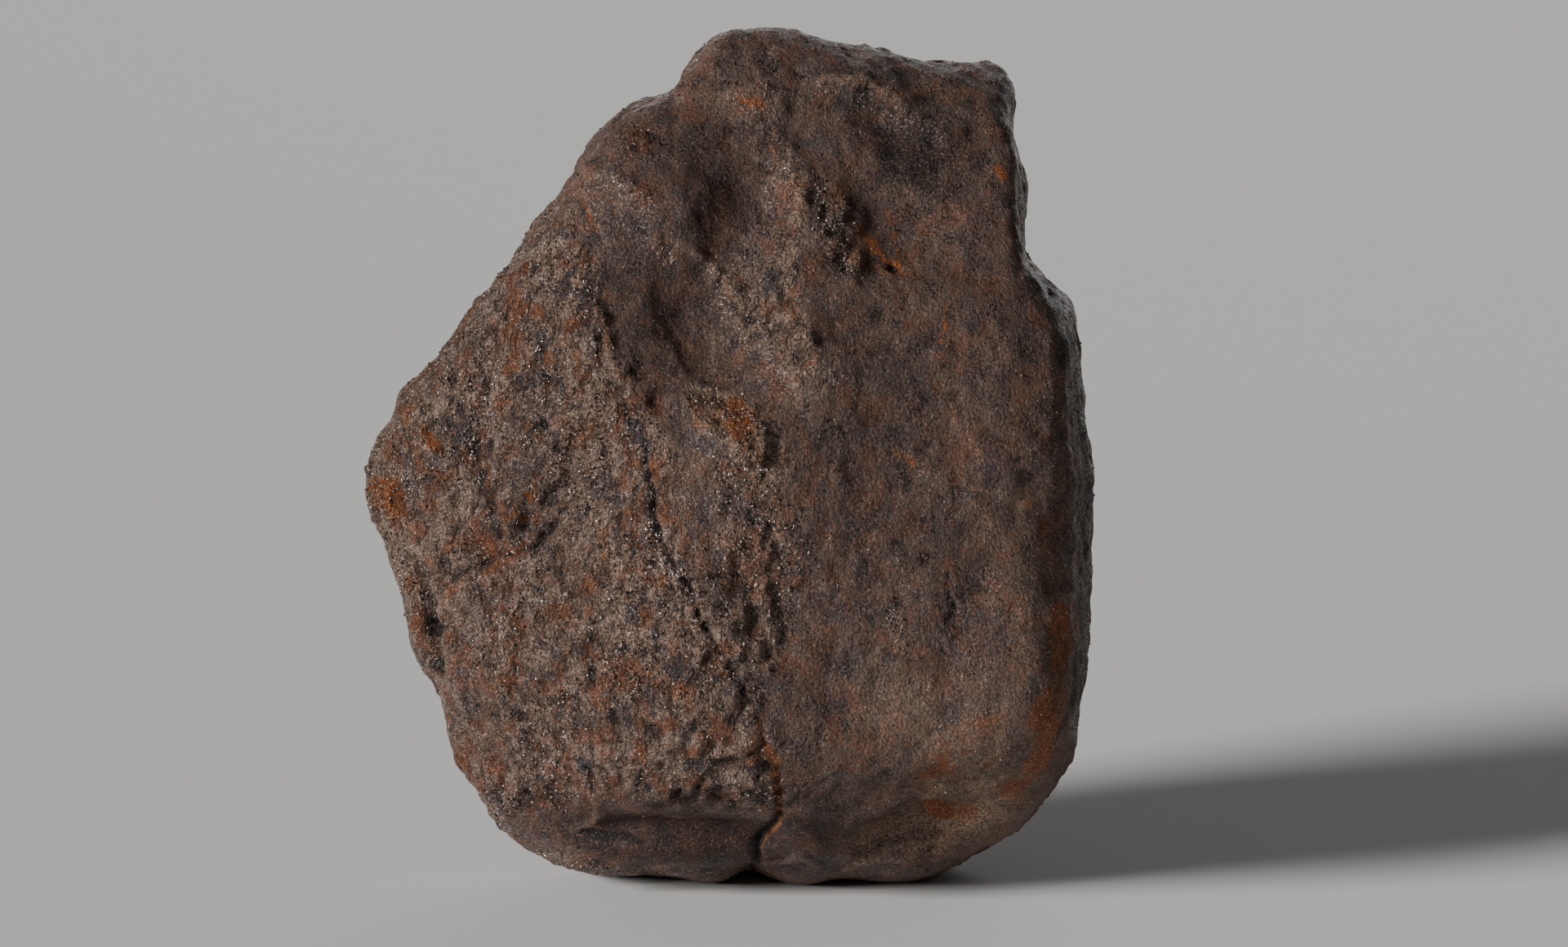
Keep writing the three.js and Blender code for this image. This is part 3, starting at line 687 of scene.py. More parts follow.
        # Painted shade: the crevices and the gaps between plates are darkened as well as pressed in
        self.masks["dark"] += self.crevice_painted_shade * crevices + self.gap_painted_shade * gaps * rough**2
        self.masks["rough"] = rough
        grainy = (rough**2 - self.grain_threshold) * self.grain_patches.at(points)
        grain = np.clip(self.masks["grain"] + grainy, 0, 1)
        self.masks["grain"] = grain * smooth(above_foot, *self.grain_fade)
        for tint in TINTS:
            self.masks[tint] = np.clip(self.masks[tint], 0, self.strongest_tint)
        return height * smooth(above_foot, *self.foot_fade)

    def press_marks(self, points: Array, away: Array) -> Array:
        """Adds up all the marks, in the masks and in the relief.

        Args:
            points: Rows of x, y, z in the picture frame.
            away: How far each normal points away from the eye.

        Returns:
            The marks' heights in millimetres.
        """
        front, back = smooth(-away, *self.facing), smooth(away, *self.facing)
        across, up = self.warped(points)
        self.masks = {name: np.zeros(len(points)) for name in (*TINTS, *TEXTURES)}
        self.masks["rough"] += self.texture(across, up, front)
        places = {Side.FRONT: (across, up), Side.BACK: (points[:, 0], points[:, 2])}
        facing = {Side.FRONT: front, Side.BACK: back}
        height = np.zeros(len(points))
        for mark in MARKS:
            strength = mark.strength(*places[mark.side]) * facing[mark.side]
            height += mark.lift * strength
            log.debug("pressed in: %s", mark.name)
            for name in self.masks:
                self.masks[name] += getattr(mark, name) * strength
        return height

    def weathering(self, points: Array, rough: Array) -> tuple[Array, Array]:
        """Gives the unevenness between the marks: lumps, streaks and plates.

        Args:
            points: Rows of x, y, z in the picture frame.
            rough: How rough the crust is at each point.

        Returns:
            Heights in millimetres, and how far each point lies in a gap between plates.
        """
        calm = 1 - self.granular_calm * np.clip(self.masks["grain"], 0, 1)
        lumpy = self.smooth_lumps + (1 - self.smooth_lumps) * rough
        height = np.zeros(len(points))
        for layer in self.lumps:
            height += layer.height * calm * lumpy * layer.at(points)
        streaked = self.streaked(points)
        for layer in self.streaks:
            streaks = np.tanh(self.streak_edge * layer.at(streaked))
            height += layer.height * rough**self.streak_power * streaks
        bent = streaked + self.plate_bend * self.wander(points, self.plate_wander)
        plates, gaps = self.plates.heights(bent)
        height += plates * rough**self.plate_power
        return height, gaps * self.gap_patches.at(points)

    def streaked(self, points: Array) -> Array:
        """Squeezes points so that noise on them runs in short, nearly upright streaks.

        Args:
            points: Rows of x, y, z in the picture frame.

        Returns:
            The squeezed points.
        """
        x, y, z = points.T
        sine, cosine = math.sin(self.streak_lean), math.cos(self.streak_lean)
        along = (x * sine + z * cosine) / self.streak_stretch
        return np.stack([x * cosine - z * sine, y, along], axis=1)

    def crevices(self, points: Array) -> Array:
        """Says where fine, broken crevices run.

        Args:
            points: Rows of x, y, z in the picture frame.

        Returns:
            1 in the middle of a crevice and 0 outside.
        """
        bent = points + self.crevice_bend * self.wander(points, self.crevice_wander)
        level = np.abs(self.crevice_lines.at(bent))
        return (1 - smooth(level, 0, self.crevice_width)) * self.crevice_patches.at(points)

    def warped(self, points: Array) -> tuple[Array, Array]:
        """Says where points are seen, shifted a little so that straight lines wander.

        Args:
            points: Rows of x, y, z in the picture frame.

        Returns:
            How far across and how far up each is taken to be.
        """
        across, up = PICTURE.seen(points)
        return (
            across + self.warp * self.warp_across.at(points),
            up + self.warp * self.warp_up.at(points),
        )

    def wander(self, points: Array, size: float) -> Array:
        """Gives small shifts in all three directions.

        Args:
            points: Rows of x, y, z in millimetres.
            size: The wavelength of the shifts.

        Returns:
            Rows of x, y, z in millimetres.
        """
        layers = (Waves(size, 3.0), Waves(size, 5.0), Waves(size, 7.0))
        return size * np.stack([layer.at(points) for layer in layers], axis=1)

    def texture(self, across: Array, up: Array, front: Array) -> Array:
        """Says how rough the crust is before the marks: most on the left face of the front.

        Args:
            across: How far across each point is seen.
            up: How far up each point is seen.
            front: How far each point faces the eye, from 0 to 1.

        Returns:
            The roughness of the texture.
        """
        line = np.array(FACE_DIVIDE)[::-1]
        boundary = np.interp(up, line[:, 1], line[:, 0])
        left = smooth(boundary - across, *self.divide_blend)
        seen = self.smooth_texture + (self.rough_texture - self.smooth_texture) * left
        return self.back_texture + (seen - self.back_texture) * front

    def keep_in_box(self, moved: Array, corners: Array) -> Array:
        """Keeps the crust inside the solid's box and the foot flat.

        Args:
            moved: The shaped points, in metres.
            corners: The points before the relief.

        Returns:
            The points, held inside.
        """
        low, high = (np.array(corner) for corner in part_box(STONE_NODE))
        moved = np.clip(moved, low, high)
        on_foot = corners[:, 2] < self.foot_rim * MILLIMETRE
        moved[on_foot, 2] = np.minimum(moved[on_foot, 2], corners[on_foot, 2])
        return moved

    def cavity(self, mesh: bpy.types.Mesh, height: Array) -> Array:
        """Says how far each point lies below or above the points around it.

        Args:
            mesh: The crust's mesh.
            height: The relief, in millimetres.

        Returns:
            Positive values in gaps and pits, negative ones on raised edges.
        """
        ends = np.empty(len(mesh.edges) * 2, dtype=np.int32)
        mesh.edges.foreach_get("vertices", ends)
        a, b = ends.reshape(-1, 2).T
        count = np.bincount(np.concatenate([a, b]), minlength=len(height))
        level = height.copy()
        for _ in range(self.cavity_rounds):
            total = np.bincount(a, level[b], len(height)) + np.bincount(b, level[a], len(height))
            level = total / count
        return np.clip((level - height) / self.cavity_depth, -1, 1)


class NodeSheet:
    """Adds nodes to a tree and wires them."""

    def __init__(self, tree: bpy.types.NodeTree) -> None:
        """Keeps the tree."""
        self.tree = tree

    def add(self, kind: str, inputs: dict[int | str, Any] | None = None, **settings: Any) -> Any:
        """Adds a node.

        Args:
            kind: The node's type.
            inputs: Sockets to wire or values to set, by the input's name or number.
            **settings: The node's own settings.

        Returns:
            The node.
        """
        new = self.tree.nodes.new(kind)
        for key, value in settings.items():
            setattr(new, key, value)
        self.feed(new, inputs or {})
        return new

    def feed(self, node: Any, inputs: dict[int | str, Any]) -> None:
        """Wires or sets a node's inputs.

        Args:
            node: The node.
            inputs: Sockets to wire or values to set, by the input's name or number.
        """
        for key, value in inputs.items():
            if isinstance(value, bpy.types.NodeSocket):
                self.tree.links.new(value, node.inputs[key])
            else:
                node.inputs[key].default_value = value

    def math(self, operation: str, *values: Any) -> Socket:
        """Adds a Math node and gives its result."""
        inputs = dict(enumerate(values))
        return self.add("ShaderNodeMath", inputs, operation=operation).outputs[0]

    def times(self, first: Any, second: Any) -> Socket:
        """Gives the product of two values."""
        return self.math("MULTIPLY", first, second)

    def scaled(self, value: Any, factor: Any, start: Any) -> Socket:
        """Gives a start value plus value times factor."""
        return self.math("MULTIPLY_ADD", value, factor, start)

    def at_most(self, value: Any, limit: float) -> Socket:
        """Gives a value, or the limit where it is above it."""
        return self.math("MINIMUM", value, limit)

    def between(self, value: Any, low: float, high: float) -> Socket:
        """Eases a value from 0 at low to 1 at high."""
        inputs = {0: value, 1: low, 2: high}
        return self.add("ShaderNodeMapRange", inputs, interpolation_type="SMOOTHSTEP").outputs[0]

    def mix(self, factor: Any, first: Any, second: Any) -> Socket:
        """Mixes two colours."""
        inputs = {0: factor, 6: opaque(first), 7: opaque(second)}
        return self.add("ShaderNodeMix", inputs, data_type="RGBA").outputs[2]

    def noise(self, vector: Any, scale: Any, detail: float, roughness: float) -> Any:
        """Adds a noise texture and gives its outputs."""
        inputs = {"Vector": vector, "Scale": scale, "Detail": detail, "Roughness": roughness}
        return self.add("ShaderNodeTexNoise", inputs).outputs

    def hues(self, vector: Any, scale: Any, detail: float, roughness: float) -> tuple[Socket, ...]:
        """Adds a noise texture and gives its three independent values."""
        colour = self.noise(vector, scale, detail, roughness)["Color"]
        return tuple(self.add("ShaderNodeSeparateColor", {0: colour}).outputs)

    def attribute(self, name: str) -> Socket:
        """Reads one of the mesh's masks."""
        return self.add("ShaderNodeAttribute", attribute_name=name).outputs["Fac"]

    def place(self) -> Socket:
        """Gives the place on the stone."""
        return self.add("ShaderNodeTexCoord").outputs["Object"]

    def grit(self, group: bpy.types.NodeTree, vector: Any, scale: float) -> Any:
        """Places the weathered grit and gives its outputs."""
        inputs = {"Vector": vector, "Scale": scale}
        return self.add("ShaderNodeGroup", inputs, node_tree=group).outputs


def opaque(value: Any) -> Any:
    """Gives a plain colour its alpha, and leaves a socket as it is."""
    return (*value, 1.0) if isinstance(value, tuple) else value


def new_material(name: str) -> tuple[bpy.types.Material, NodeSheet, Any]:
    """Starts a material.

    Args:
        name: The material's name.

    Returns:
        The material, the sheet to add nodes to, and the Principled node.
    """
    material = bpy.data.materials.new(name)
    material.use_nodes = True
    tree = material.node_tree
    return material, NodeSheet(tree), tree.nodes["Principled BSDF"]


@dataclass(frozen=True)
class Grit:
    """Weathered grit, the node group that both of the stone's finishes use: small lumps in noise.

    A band gives the two values between which something eases from 0 to 1.
    """

    detail: float = 4.0
    roughness: float = 0.65
    edge_level: float = 0.47
    edge_width: float = 0.025
    step_band: Band = (0.43, 0.56)
    step_height: float = 0.5
    wave_height: float = 0.8
    hue_scale: float = 1.3
    hue_detail: float = 5.0
    hue_roughness: float = 0.7

    def group(self) -> bpy.types.NodeTree:
        """Makes the group.

        Returns:
            The group, with Vector and Scale in. Height is highest on the lumps, Edge is 1 on the
            thin line round each lump, and Shade, Hue and Gloss change from place to place.
        """
        tree = bpy.data.node_groups.new("weathered grit", "ShaderNodeTree")
        tree.interface.new_socket(name="Vector", in_out="INPUT", socket_type="NodeSocketVector")
        tree.interface.new_socket(name="Scale", in_out="INPUT", socket_type="NodeSocketFloat")
        labels = ("Height", "Edge", "Shade", "Hue", "Gloss")
        for label in labels:
            tree.interface.new_socket(name=label, in_out="OUTPUT", socket_type="NodeSocketFloat")
        sheet = NodeSheet(tree)
        vector, scale = sheet.add("NodeGroupInput").outputs[:2]
        waves = sheet.noise(vector, scale, self.detail, self.roughness)[0]
        step = sheet.between(waves, *self.step_band)
        height = sheet.scaled(step, self.step_height, sheet.times(waves, self.wave_height))
        from_edge = sheet.math("ABSOLUTE", sheet.math("SUBTRACT", waves, self.edge_level))
        edge = sheet.math("SUBTRACT", 1.0, sheet.between(from_edge, 0.0, self.edge_width))
        finer = sheet.times(scale, self.hue_scale)
        hues = sheet.hues(vector, finer, self.hue_detail, self.hue_roughness)
        sheet.feed(sheet.add("NodeGroupOutput"), dict(zip(labels, (height, edge, *hues))))
        return tree


@dataclass(frozen=True)
class CrustPattern:
    """What the crust's finish is mixed from.

    Lumps and fine are the grit's outputs, at about a millimetre and at its finest. The others are
    values that change over the stone, each on its own.
    """

    rough: Socket
    lumps: Any
    fine: Any
    warm: Socket
    cool: Socket
    red: Socket
    broad: Socket
    stains: Socket


@dataclass(frozen=True)
class CrustFinish:
    """The weathered crust: browns, blue-grey, dust and rust, with a broken gloss, painted shade in its
    cracks, pits and shaded places, and painted light and sheen on its lit ones.

    A scale counts waves for each metre, and a noise has a scale, a detail and a roughness. A band
    gives the two values between which something eases from 0 to 1. A share says how much it counts,
    and a name that starts with rough says how much more it counts on rough crust.
    """

    deep_brown: Colour = (0.0178, 0.0096, 0.0088)
    warm_brown: Colour = (0.063, 0.0292, 0.0190)
    grey_tan: Colour = (0.350, 0.236, 0.182)
    blue_grey: Colour = (0.038, 0.036, 0.046)
    red_brown: Colour = (0.21, 0.070, 0.029)
    pale_tan: Colour = (0.40, 0.27, 0.18)
    rust: Colour = (0.18, 0.050, 0.015)
    bright_rust: Colour = (0.31, 0.105, 0.034)
    edge_dust: Colour = (0.17, 0.082, 0.040)
    glint: Colour = (0.38, 0.32, 0.275)
    # pit is painted shade: the near-black that cracks, pits, gaps and shaded places are mixed towards
    pit: Colour = (0.006, 0.004, 0.0035)

    lump_scale: float = 450.0
    fine_scale: float = 2600.0
    patch_noise: tuple[float, float, float] = (300.0, 8.0, 0.7)
    broad_noise: tuple[float, float, float] = (130.0, 6.0, 0.6)
    streak_squeeze: float = 0.66
    streak_lean: float = math.radians(-15)

    warm_band: Band = (0.67, 0.84)
    warm_fine_share: float = 0.5
    rough_dust_and_painted_sheen: float = 0.85
    dust_and_painted_sheen_band: Band = (0.67, 0.83)
    dust_and_painted_sheen_lump_share: float = 0.6
    variety: float = 0.1
    rough_variety: float = 0.9
    blue_band: Band = (0.70, 0.78)
    blue_lump_share: float = 0.35
    broad_blue_band: Band = (0.5, 0.66)
    broad_blue_share: float = 0.2
    most_blue: float = 0.8
    red_band: Band = (0.65, 0.74)
    red_fine_share: float = 0.3
    red_share: float = 0.85

    pale_band: Band = (0.4, 0.58)
    pale_share: float = 0.45
    most_pale: float = 0.9
    rust_band: Band = (0.89, 1.05)
    rust_mark_share: float = 0.42
    rust_fine_share: float = 0.4
    rough_rust: float = 0.05
    bright_rust_band: Band = (0.42, 0.6)
    speck_and_painted_glint_band: Band = (0.60, 0.635)
    specks_and_painted_glints: float = 0.35
    rough_specks_and_painted_glints: float = 0.4

    edge_dust_share: float = 0.55
    fine_edge_share: float = 0.5
    edge_painted_shade: float = 0.25
    cavity_painted_shade: float = 0.5
    darkest: float = 1.1
    dark_share: float = 0.8

    matte: float = 0.5
    gloss_band: Band = (0.5, 0.58)
    gloss: float = 0.28
    rough_gloss: float = 0.12
    tan_gloss: float = 0.1
    dark_matte: float = 0.25
    glossiest: float = 0.12
    sheen: float = 0.2
    glint_band: Band = (0.55, 0.58)
    glints: float = 0.08
    rough_glints: float = 0.8
    grain_glints: float = 0.6
    glint_share: float = 0.85

    lump_power: float = 1.6
    fine_bump: float = 0.06
    rough_fine_bump: float = 0.6
    bump_height: float = 0.0007

    def make(self, grit: bpy.types.NodeTree) -> bpy.types.Material:
        """Makes the material.

        Args:
            grit: The node group of weathered grit.

        Returns:
            The material.
        """
        material, sheet, shader = new_material("weathered crust")
        pattern = self.pattern(sheet, grit)
        colour = self.shaded(sheet, pattern, self.stained(sheet, pattern, self.ground(sheet, pattern)))
        glints = self.glinting(sheet, pattern)
        sheet.feed(shader, {
            "Base Color": sheet.mix(sheet.times(glints, self.glint_share), colour, self.glint),
            "Roughness": self.roughness(sheet, pattern),
            "Metallic": glints,
            "Normal": self.bump(sheet, pattern),
            "Specular IOR Level": self.sheen,
        })
        return material

    def pattern(self, sheet: NodeSheet, grit: bpy.types.NodeTree) -> CrustPattern:
        """Adds the noise that the finish is mixed from.

        Args:
            sheet: The material's node sheet.
            grit: The node group of weathered grit.

        Returns:
            The sockets.
        """
        place = sheet.place()
        streaked = sheet.add("ShaderNodeMapping", {
            "Vector": place, "Scale": (1.0, 1.0, self.streak_squeeze),
            "Rotation": (0.0, self.streak_lean, 0.0)}).outputs[0]
        warm, cool, red = sheet.hues(place, *self.patch_noise)
        broad, _, stains = sheet.hues(place, *self.broad_noise)
        return CrustPattern(
            rough=sheet.attribute("rough"), lumps=sheet.grit(grit, streaked, self.lump_scale),
            fine=sheet.grit(grit, place, self.fine_scale), warm=warm, cool=cool, red=red,
            broad=broad, stains=stains)

    def ground(self, sheet: NodeSheet, pattern: CrustPattern) -> Socket:
        """Mixes the browns, the grey-tan that is dust and painted sheen on rough crust, the blue-grey
        and the red-brown.

        Args:
            sheet: The material's node sheet.
            pattern: What to mix by.

        Returns:
            The colour.
        """
        lumps, fine, rough = pattern.lumps, pattern.fine, pattern.rough
        tone = sheet.scaled(fine["Shade"], self.warm_fine_share, pattern.warm)
        base = sheet.mix(sheet.between(tone, *self.warm_band), self.deep_brown, self.warm_brown)
        # Grey-tan on rough crust is dust and painted sheen of the lit left face
        dust_and_painted_sheen = sheet.scaled(lumps["Hue"], self.dust_and_painted_sheen_lump_share, fine["Hue"])
        dust_and_painted_sheen = sheet.times(sheet.between(dust_and_painted_sheen, *self.dust_and_painted_sheen_band), sheet.times(rough, self.rough_dust_and_painted_sheen))
        base = sheet.mix(dust_and_painted_sheen, base, self.grey_tan)
        variety = sheet.scaled(rough, self.rough_variety, self.variety)
        blue = sheet.scaled(lumps["Shade"], self.blue_lump_share, pattern.cool)
        blue = sheet.times(sheet.between(blue, *self.blue_band), variety)
        broad_blue = sheet.between(pattern.broad, *self.broad_blue_band)
        blue = sheet.scaled(broad_blue, self.broad_blue_share, blue)
        blue = sheet.math("ADD", blue, sheet.attribute("blue"))
        base = sheet.mix(sheet.at_most(blue, self.most_blue), base, self.blue_grey)
        reddish = sheet.scaled(fine["Hue"], self.red_fine_share, pattern.red)
        reddish = sheet.times(sheet.between(reddish, *self.red_band), variety)
        return sheet.mix(sheet.times(reddish, self.red_share), base, self.red_brown)

    def stained(self, sheet: NodeSheet, pattern: CrustPattern, base: Socket) -> Socket:
        """Adds the pale tan, which is pale dust and veins in some places and painted light on lit
        patches, edges and faces in others, the rust, and the specks, which are partly painted glints.

        Args:
            sheet: The material's node sheet.
            pattern: What to mix by.
            base: The colour underneath.

        Returns:
            The colour.
        """
        fine, rough = pattern.fine, pattern.rough
        # The tan mask gives pale dust and veins, and in places painted light
        pale = sheet.times(sheet.attribute("tan"), sheet.between(fine["Shade"], *self.pale_band))
        pale = sheet.at_most(sheet.times(pale, self.pale_share), self.most_pale)
        base = sheet.mix(pale, base, self.pale_tan)
        stain = sheet.scaled(sheet.attribute("rust"), self.rust_mark_share, pattern.stains)
        stain = sheet.scaled(fine["Hue"], self.rust_fine_share, stain)
        stain = sheet.scaled(rough, self.rough_rust, stain)
        bright = sheet.between(fine["Shade"], *self.bright_rust_band)
        rust = sheet.mix(bright, self.rust, self.bright_rust)
        base = sheet.mix(sheet.between(stain, *self.rust_band), base, rust)
        # Pale specks, partly painted glints
        speck_and_painted_glint = sheet.times(sheet.between(fine["Gloss"], *self.speck_and_painted_glint_band),
                            sheet.scaled(rough, self.rough_specks_and_painted_glints, self.specks_and_painted_glints))
        return sheet.mix(speck_and_painted_glint, base, self.pale_tan)

    def shaded(self, sheet: NodeSheet, pattern: CrustPattern, base: Socket) -> Socket:
        """Adds the dust along the lumps' edges, and paints shade into hollows of the relief, the
        lumps' edges and the places the dark mask marks.

        Args:
            sheet: The material's node sheet.
            pattern: What to mix by.
            base: The colour underneath.

        Returns:
            The colour.
        """
        edges = sheet.times(pattern.lumps["Edge"], sheet.times(pattern.rough, pattern.rough))
        base = sheet.mix(sheet.times(edges, self.edge_dust_share), base, self.edge_dust)
        edges = sheet.scaled(pattern.fine["Edge"], self.fine_edge_share, edges)
        # Painted shade: hollows of the relief, lump edges and the dark mask darken the colour towards
        # pit
        cavity = sheet.between(sheet.attribute("cavity"), 0.0, 1.0)
        dark = sheet.scaled(cavity, self.cavity_painted_shade, sheet.attribute("dark"))
        dark = sheet.at_most(sheet.scaled(edges, self.edge_painted_shade, dark), self.darkest)
        return sheet.mix(sheet.times(dark, self.dark_share), base, self.pit)

    def glinting(self, sheet: NodeSheet, pattern: CrustPattern) -> Socket:
        """Says where small facets glint.

        Args:
            sheet: The material's node sheet.
            pattern: What to mix by.

        Returns:
            The mask.
        """
        share = sheet.scaled(pattern.rough, self.rough_glints, self.glints)
        share = sheet.scaled(sheet.attribute("grain"), self.grain_glints, share)
        facets = sheet.between(pattern.fine["Gloss"], *self.glint_band)
        return sheet.times(facets, sheet.at_most(share, 1.0))

    def roughness(self, sheet: NodeSheet, pattern: CrustPattern) -> Socket:
        """Breaks up the gloss, and takes it from pits and cracks.

        Args:
            sheet: The material's node sheet.
            pattern: What to mix by.

        Returns:
            The shader's roughness.
        """
        glossy = sheet.between(pattern.fine["Gloss"], *self.gloss_band)
        matte = sheet.scaled(glossy, -self.gloss, self.matte)
        matte = sheet.scaled(pattern.rough, -self.rough_gloss, matte)
        matte = sheet.scaled(sheet.attribute("tan"), -self.tan_gloss, matte)
        matte = sheet.scaled(sheet.attribute("dark"), self.dark_matte, matte)
        return sheet.math("MAXIMUM", matte, self.glossiest)

    def bump(self, sheet: NodeSheet, pattern: CrustPattern) -> Socket:
        """Raises the lumps and the fine grit, most where the crust is rough.

        Args:
            sheet: The material's node sheet.
            pattern: What to mix by.

        Returns:
            The bumped normal.
        """
        lumpy = sheet.math("POWER", pattern.rough, self.lump_power)
        gritty = sheet.scaled(pattern.rough, self.rough_fine_bump, self.fine_bump)
        height = sheet.scaled(pattern.fine["Height"], gritty,
                              sheet.times(pattern.lumps["Height"], lumpy))
        return sheet.add("ShaderNodeBump", {
            "Strength": 1.0, "Distance": self.bump_height, "Height": height}).outputs[0]


@dataclass(frozen=True)
class GrainFinish:
    """Small mineral grains that catch the light: dark, brown or pale, and glossy."""

    dark: Colour = (0.020, 0.015, 0.013)
    brown: Colour = (0.11, 0.065, 0.042)
    pale: Colour = (0.42, 0.34, 0.27)
    grit_scale: float = 7000.0
    brown_band: Band = (0.25, 0.6)
    pale_band: Band = (0.9, 0.97)
    edge_share: float = 0.5
    glossiest: float = 0.1
    gloss_range: float = 0.2
    sheen: float = 0.8
    bump_strength: float = 0.4
    bump_height: float = 0.00003

    def make(self, grit: bpy.types.NodeTree) -> bpy.types.Material:
        """Makes the material.

        Args:
            grit: The node group of weathered grit.

        Returns:
            The material.
        """
        material, sheet, shader = new_material("mineral grains")
        fine = sheet.grit(grit, sheet.place(), self.grit_scale)
        tone = sheet.attribute(TONE)
        colour = sheet.mix(sheet.between(tone, *self.brown_band), self.dark, self.brown)
        colour = sheet.mix(sheet.between(tone, *self.pale_band), colour, self.pale)
        bump = sheet.add("ShaderNodeBump", {"Strength": self.bump_strength,
                                            "Distance": self.bump_height,
                                            "Height": fine["Height"]})
        sheet.feed(shader, {
            "Base Color": sheet.mix(sheet.times(fine["Edge"], self.edge_share), colour, self.dark),
            "Roughness": sheet.scaled(fine["Gloss"], self.gloss_range, self.glossiest),
            "Normal": bump.outputs[0],
            "Specular IOR Level": self.sheen,
        })
        return material


@dataclass
class MineralGrains:
    """Small angular grains set into the rough parts of the crust.

    density counts the grains on a square metre where the crust's grain mask is 1. A grain's radius
    lies between smallest and largest, in metres.
    """

    density: float = 2.2e6
    smallest: float = 0.00008
    largest: float = 0.00022
    seed: int = 11

    def build(self, crust: bpy.types.Object, material: bpy.types.Material) -> bpy.types.Object:
        """Scatters the grains over the crust.

        Args:
            crust: The crust, with its grain mask.
            material: The grains' material.

        Returns:
            The grains' object, a plain mesh.
        """
        tree = self.tree()
        spread = add_object("grain spread", crust.data.copy())
        scatter = spread.modifiers.new("scatter", "NODES")
        scatter.node_group = tree
        values = {"Density": self.density, "Smallest": self.smallest, "Largest": self.largest,
                  "Seed": self.seed, "Material": material}
        for item in tree.interface.items_tree:
            if item.item_type == "SOCKET" and item.name in values:
                scatter[item.identifier] = values[item.name]
        depsgraph = bpy.context.evaluated_depsgraph_get()
        mesh = bpy.data.meshes.new_from_object(spread.evaluated_get(depsgraph))
        bpy.data.objects.remove(spread)
        return add_object("mineral_grains", mesh)

    def tree(self) -> bpy.types.NodeTree:
        """Makes the Geometry Nodes tree that scatters the grains.

        Returns:
            The tree.
        """
        tree = bpy.data.node_groups.new("scattered grains", "GeometryNodeTree")
        sockets = (("Geometry", "Geometry"), ("Density", "Float"), ("Smallest", "Float"),
                   ("Largest", "Float"), ("Seed", "Int"), ("Material", "Material"))
        for label, kind in sockets:
            tree.interface.new_socket(name=label, in_out="INPUT", socket_type=f"NodeSocket{kind}")
        tree.interface.new_socket(name="Geometry", in_out="OUTPUT",
                                  socket_type="NodeSocketGeometry")
        sheet = NodeSheet(tree)
        given = sheet.add("NodeGroupInput").outputs
        mask = sheet.add("GeometryNodeInputNamedAttribute", {"Name": "grain"}, data_type="FLOAT")
        points = sheet.add("GeometryNodeDistributePointsOnFaces", {
            "Mesh": given["Geometry"], "Density": sheet.times(mask.outputs[0], given["Density"]),
            "Seed": given["Seed"]})
        angular = sheet.add("GeometryNodeMeshIcoSphere", {"Radius": 1.0, "Subdivisions": 1})
        flat = sheet.add("GeometryNodeSetShadeSmooth", {
            0: angular.outputs[0], "Shade Smooth": False})
        turn = sheet.add("FunctionNodeRandomValue", {
            "Min": (0.0, 0.0, 0.0), "Max": (math.tau, math.tau, math.tau),
            "Seed": given["Seed"]}, data_type="FLOAT_VECTOR")
        size = sheet.add("FunctionNodeRandomValue", {
            "Min": given["Smallest"], "Max": given["Largest"]}, data_type="FLOAT_VECTOR")
        copies = sheet.add("GeometryNodeInstanceOnPoints", {
            "Points": points.outputs["Points"], "Instance": flat.outputs[0],
            "Rotation": turn.outputs[0], "Scale": size.outputs[0]})
        tone = sheet.add("FunctionNodeRandomValue", data_type="FLOAT")
        toned = sheet.add("GeometryNodeStoreNamedAttribute", {
            "Geometry": copies.outputs[0], "Name": TONE, "Value": tone.outputs[1]},
            data_type="FLOAT", domain="INSTANCE")
        real = sheet.add("GeometryNodeRealizeInstances", {0: toned.outputs[0]})
        dressed = sheet.add("GeometryNodeSetMaterial", {
            "Geometry": real.outputs[0], "Material": given["Material"]})
        sheet.add("NodeGroupOutput", {0: dressed.outputs[0]})
        return tree


@dataclass(frozen=True)
class FloorFinish:
    """A plain pale floor."""

    pale: Colour = (0.80, 0.79, 0.77)
    roughness: float = 0.9

    def make(self) -> bpy.types.Material:
        """Makes the material.

        Returns:
            The material.
        """
        material, sheet, shader = new_material("pale floor")
        sheet.feed(shader, {"Base Color": opaque(self.pale), "Roughness": self.roughness})
        return material


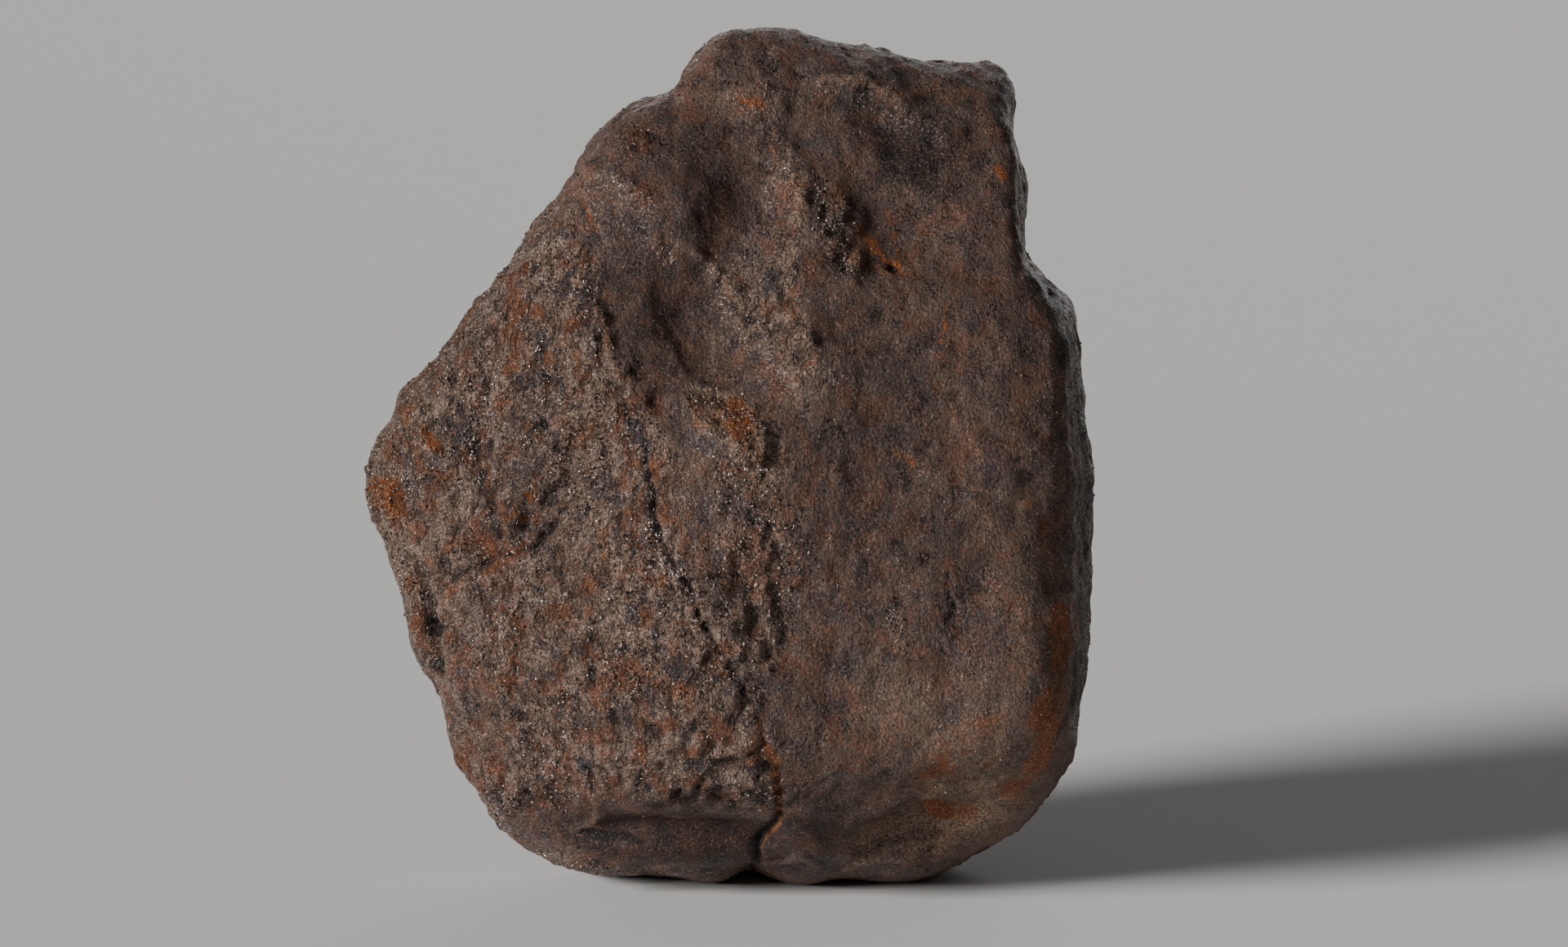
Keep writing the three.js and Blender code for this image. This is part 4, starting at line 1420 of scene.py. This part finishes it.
@dataclass
class Studio:
    """The floor, the soft lights and the camera."""

    floor_size: float = 14.0
    key_from: Point = (-450.0, -230.0, 150.0)
    key_angle: float = math.radians(18)
    key_strength: float = 5.5
    rear_from: Point = (90.0, 420.0, 60.0)
    rear_angle: float = math.radians(50)
    rear_strength: float = 0.9
    sky_colour: Colour = (1.0, 0.99, 0.97)
    sky_strength: float = 0.055
    sensor_width: float = 36.0
    farthest_seen: float = 100.0

    def floor(self) -> bpy.types.Object:
        """Lays the floor.

        Returns:
            The floor's object.
        """
        half = self.floor_size / 2
        mesh = bpy.data.meshes.new("floor")
        corners = [(-half, -half, 0), (half, -half, 0), (half, half, 0), (-half, half, 0)]
        mesh.from_pydata(corners, [], [(0, 1, 2, 3)])
        mesh.materials.append(FloorFinish().make())
        return add_object("floor", mesh)

    def light(self, name: str, come_from: Point, angle: float, strength: float) -> None:
        """Adds a wide, even light.

        Args:
            name: The light's name.
            come_from: The direction that the light comes from.
            angle: How wide the light looks from the stone.
            strength: The light's strength.
        """
        data = bpy.data.lights.new(name, "SUN")
        data.energy = strength
        data.angle = angle
        self.aim(add_object(name, data), -Vector(come_from))

    def lights(self) -> None:
        """Adds the key light, the rear light and the soft light all round."""
        self.light("key light", self.key_from, self.key_angle, self.key_strength)
        self.light("rear light", self.rear_from, self.rear_angle, self.rear_strength)
        world = bpy.data.worlds.new("studio")
        world.use_nodes = True
        sky = world.node_tree.nodes["Background"]
        sky.inputs["Color"].default_value = opaque(self.sky_colour)
        sky.inputs["Strength"].default_value = self.sky_strength
        bpy.context.scene.world = world

    def camera(self) -> None:
        """Sets the camera where the eye is."""
        across, up, distance = PICTURE.eye_across, PICTURE.eye_up, PICTURE.eye_distance
        ends = np.array([[across, -distance, up], [across, 0.0, up]])
        eye, target = (Vector(point) for point in PICTURE.to_world(ends))
        data = bpy.data.cameras.new("camera")
        data.sensor_width = self.sensor_width
        data.lens = self.sensor_width * distance / PICTURE.width
        data.clip_end = self.farthest_seen
        camera = add_object("camera", data)
        camera.location = eye
        self.aim(camera, target - eye)
        bpy.context.scene.camera = camera

    def aim(self, item: bpy.types.Object, direction: Vector) -> None:
        """Turns a light or the camera so that it looks in a direction."""
        item.rotation_mode = "QUATERNION"
        item.rotation_quaternion = direction.to_track_quat("-Z", "Y")


def main() -> None:
    """Builds the stone and the studio around it, and reports each piece."""
    logging.basicConfig(level=logging.INFO, format="%(name)s: %(message)s")
    studio = Studio()
    studio.camera()
    studio.lights()
    studio.floor()
    grit = Grit().group()
    crust = Crust().build()
    crust.data.materials.append(CrustFinish().make(grit))
    grains = MineralGrains().build(crust, GrainFinish().make(grit))
    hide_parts(STONE_NODE)
    for piece in (crust, grains):
        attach(piece, BODY)
        log.info("%s: %d faces", piece.name, len(piece.data.polygons))


if __name__ == "__main__":
    main()
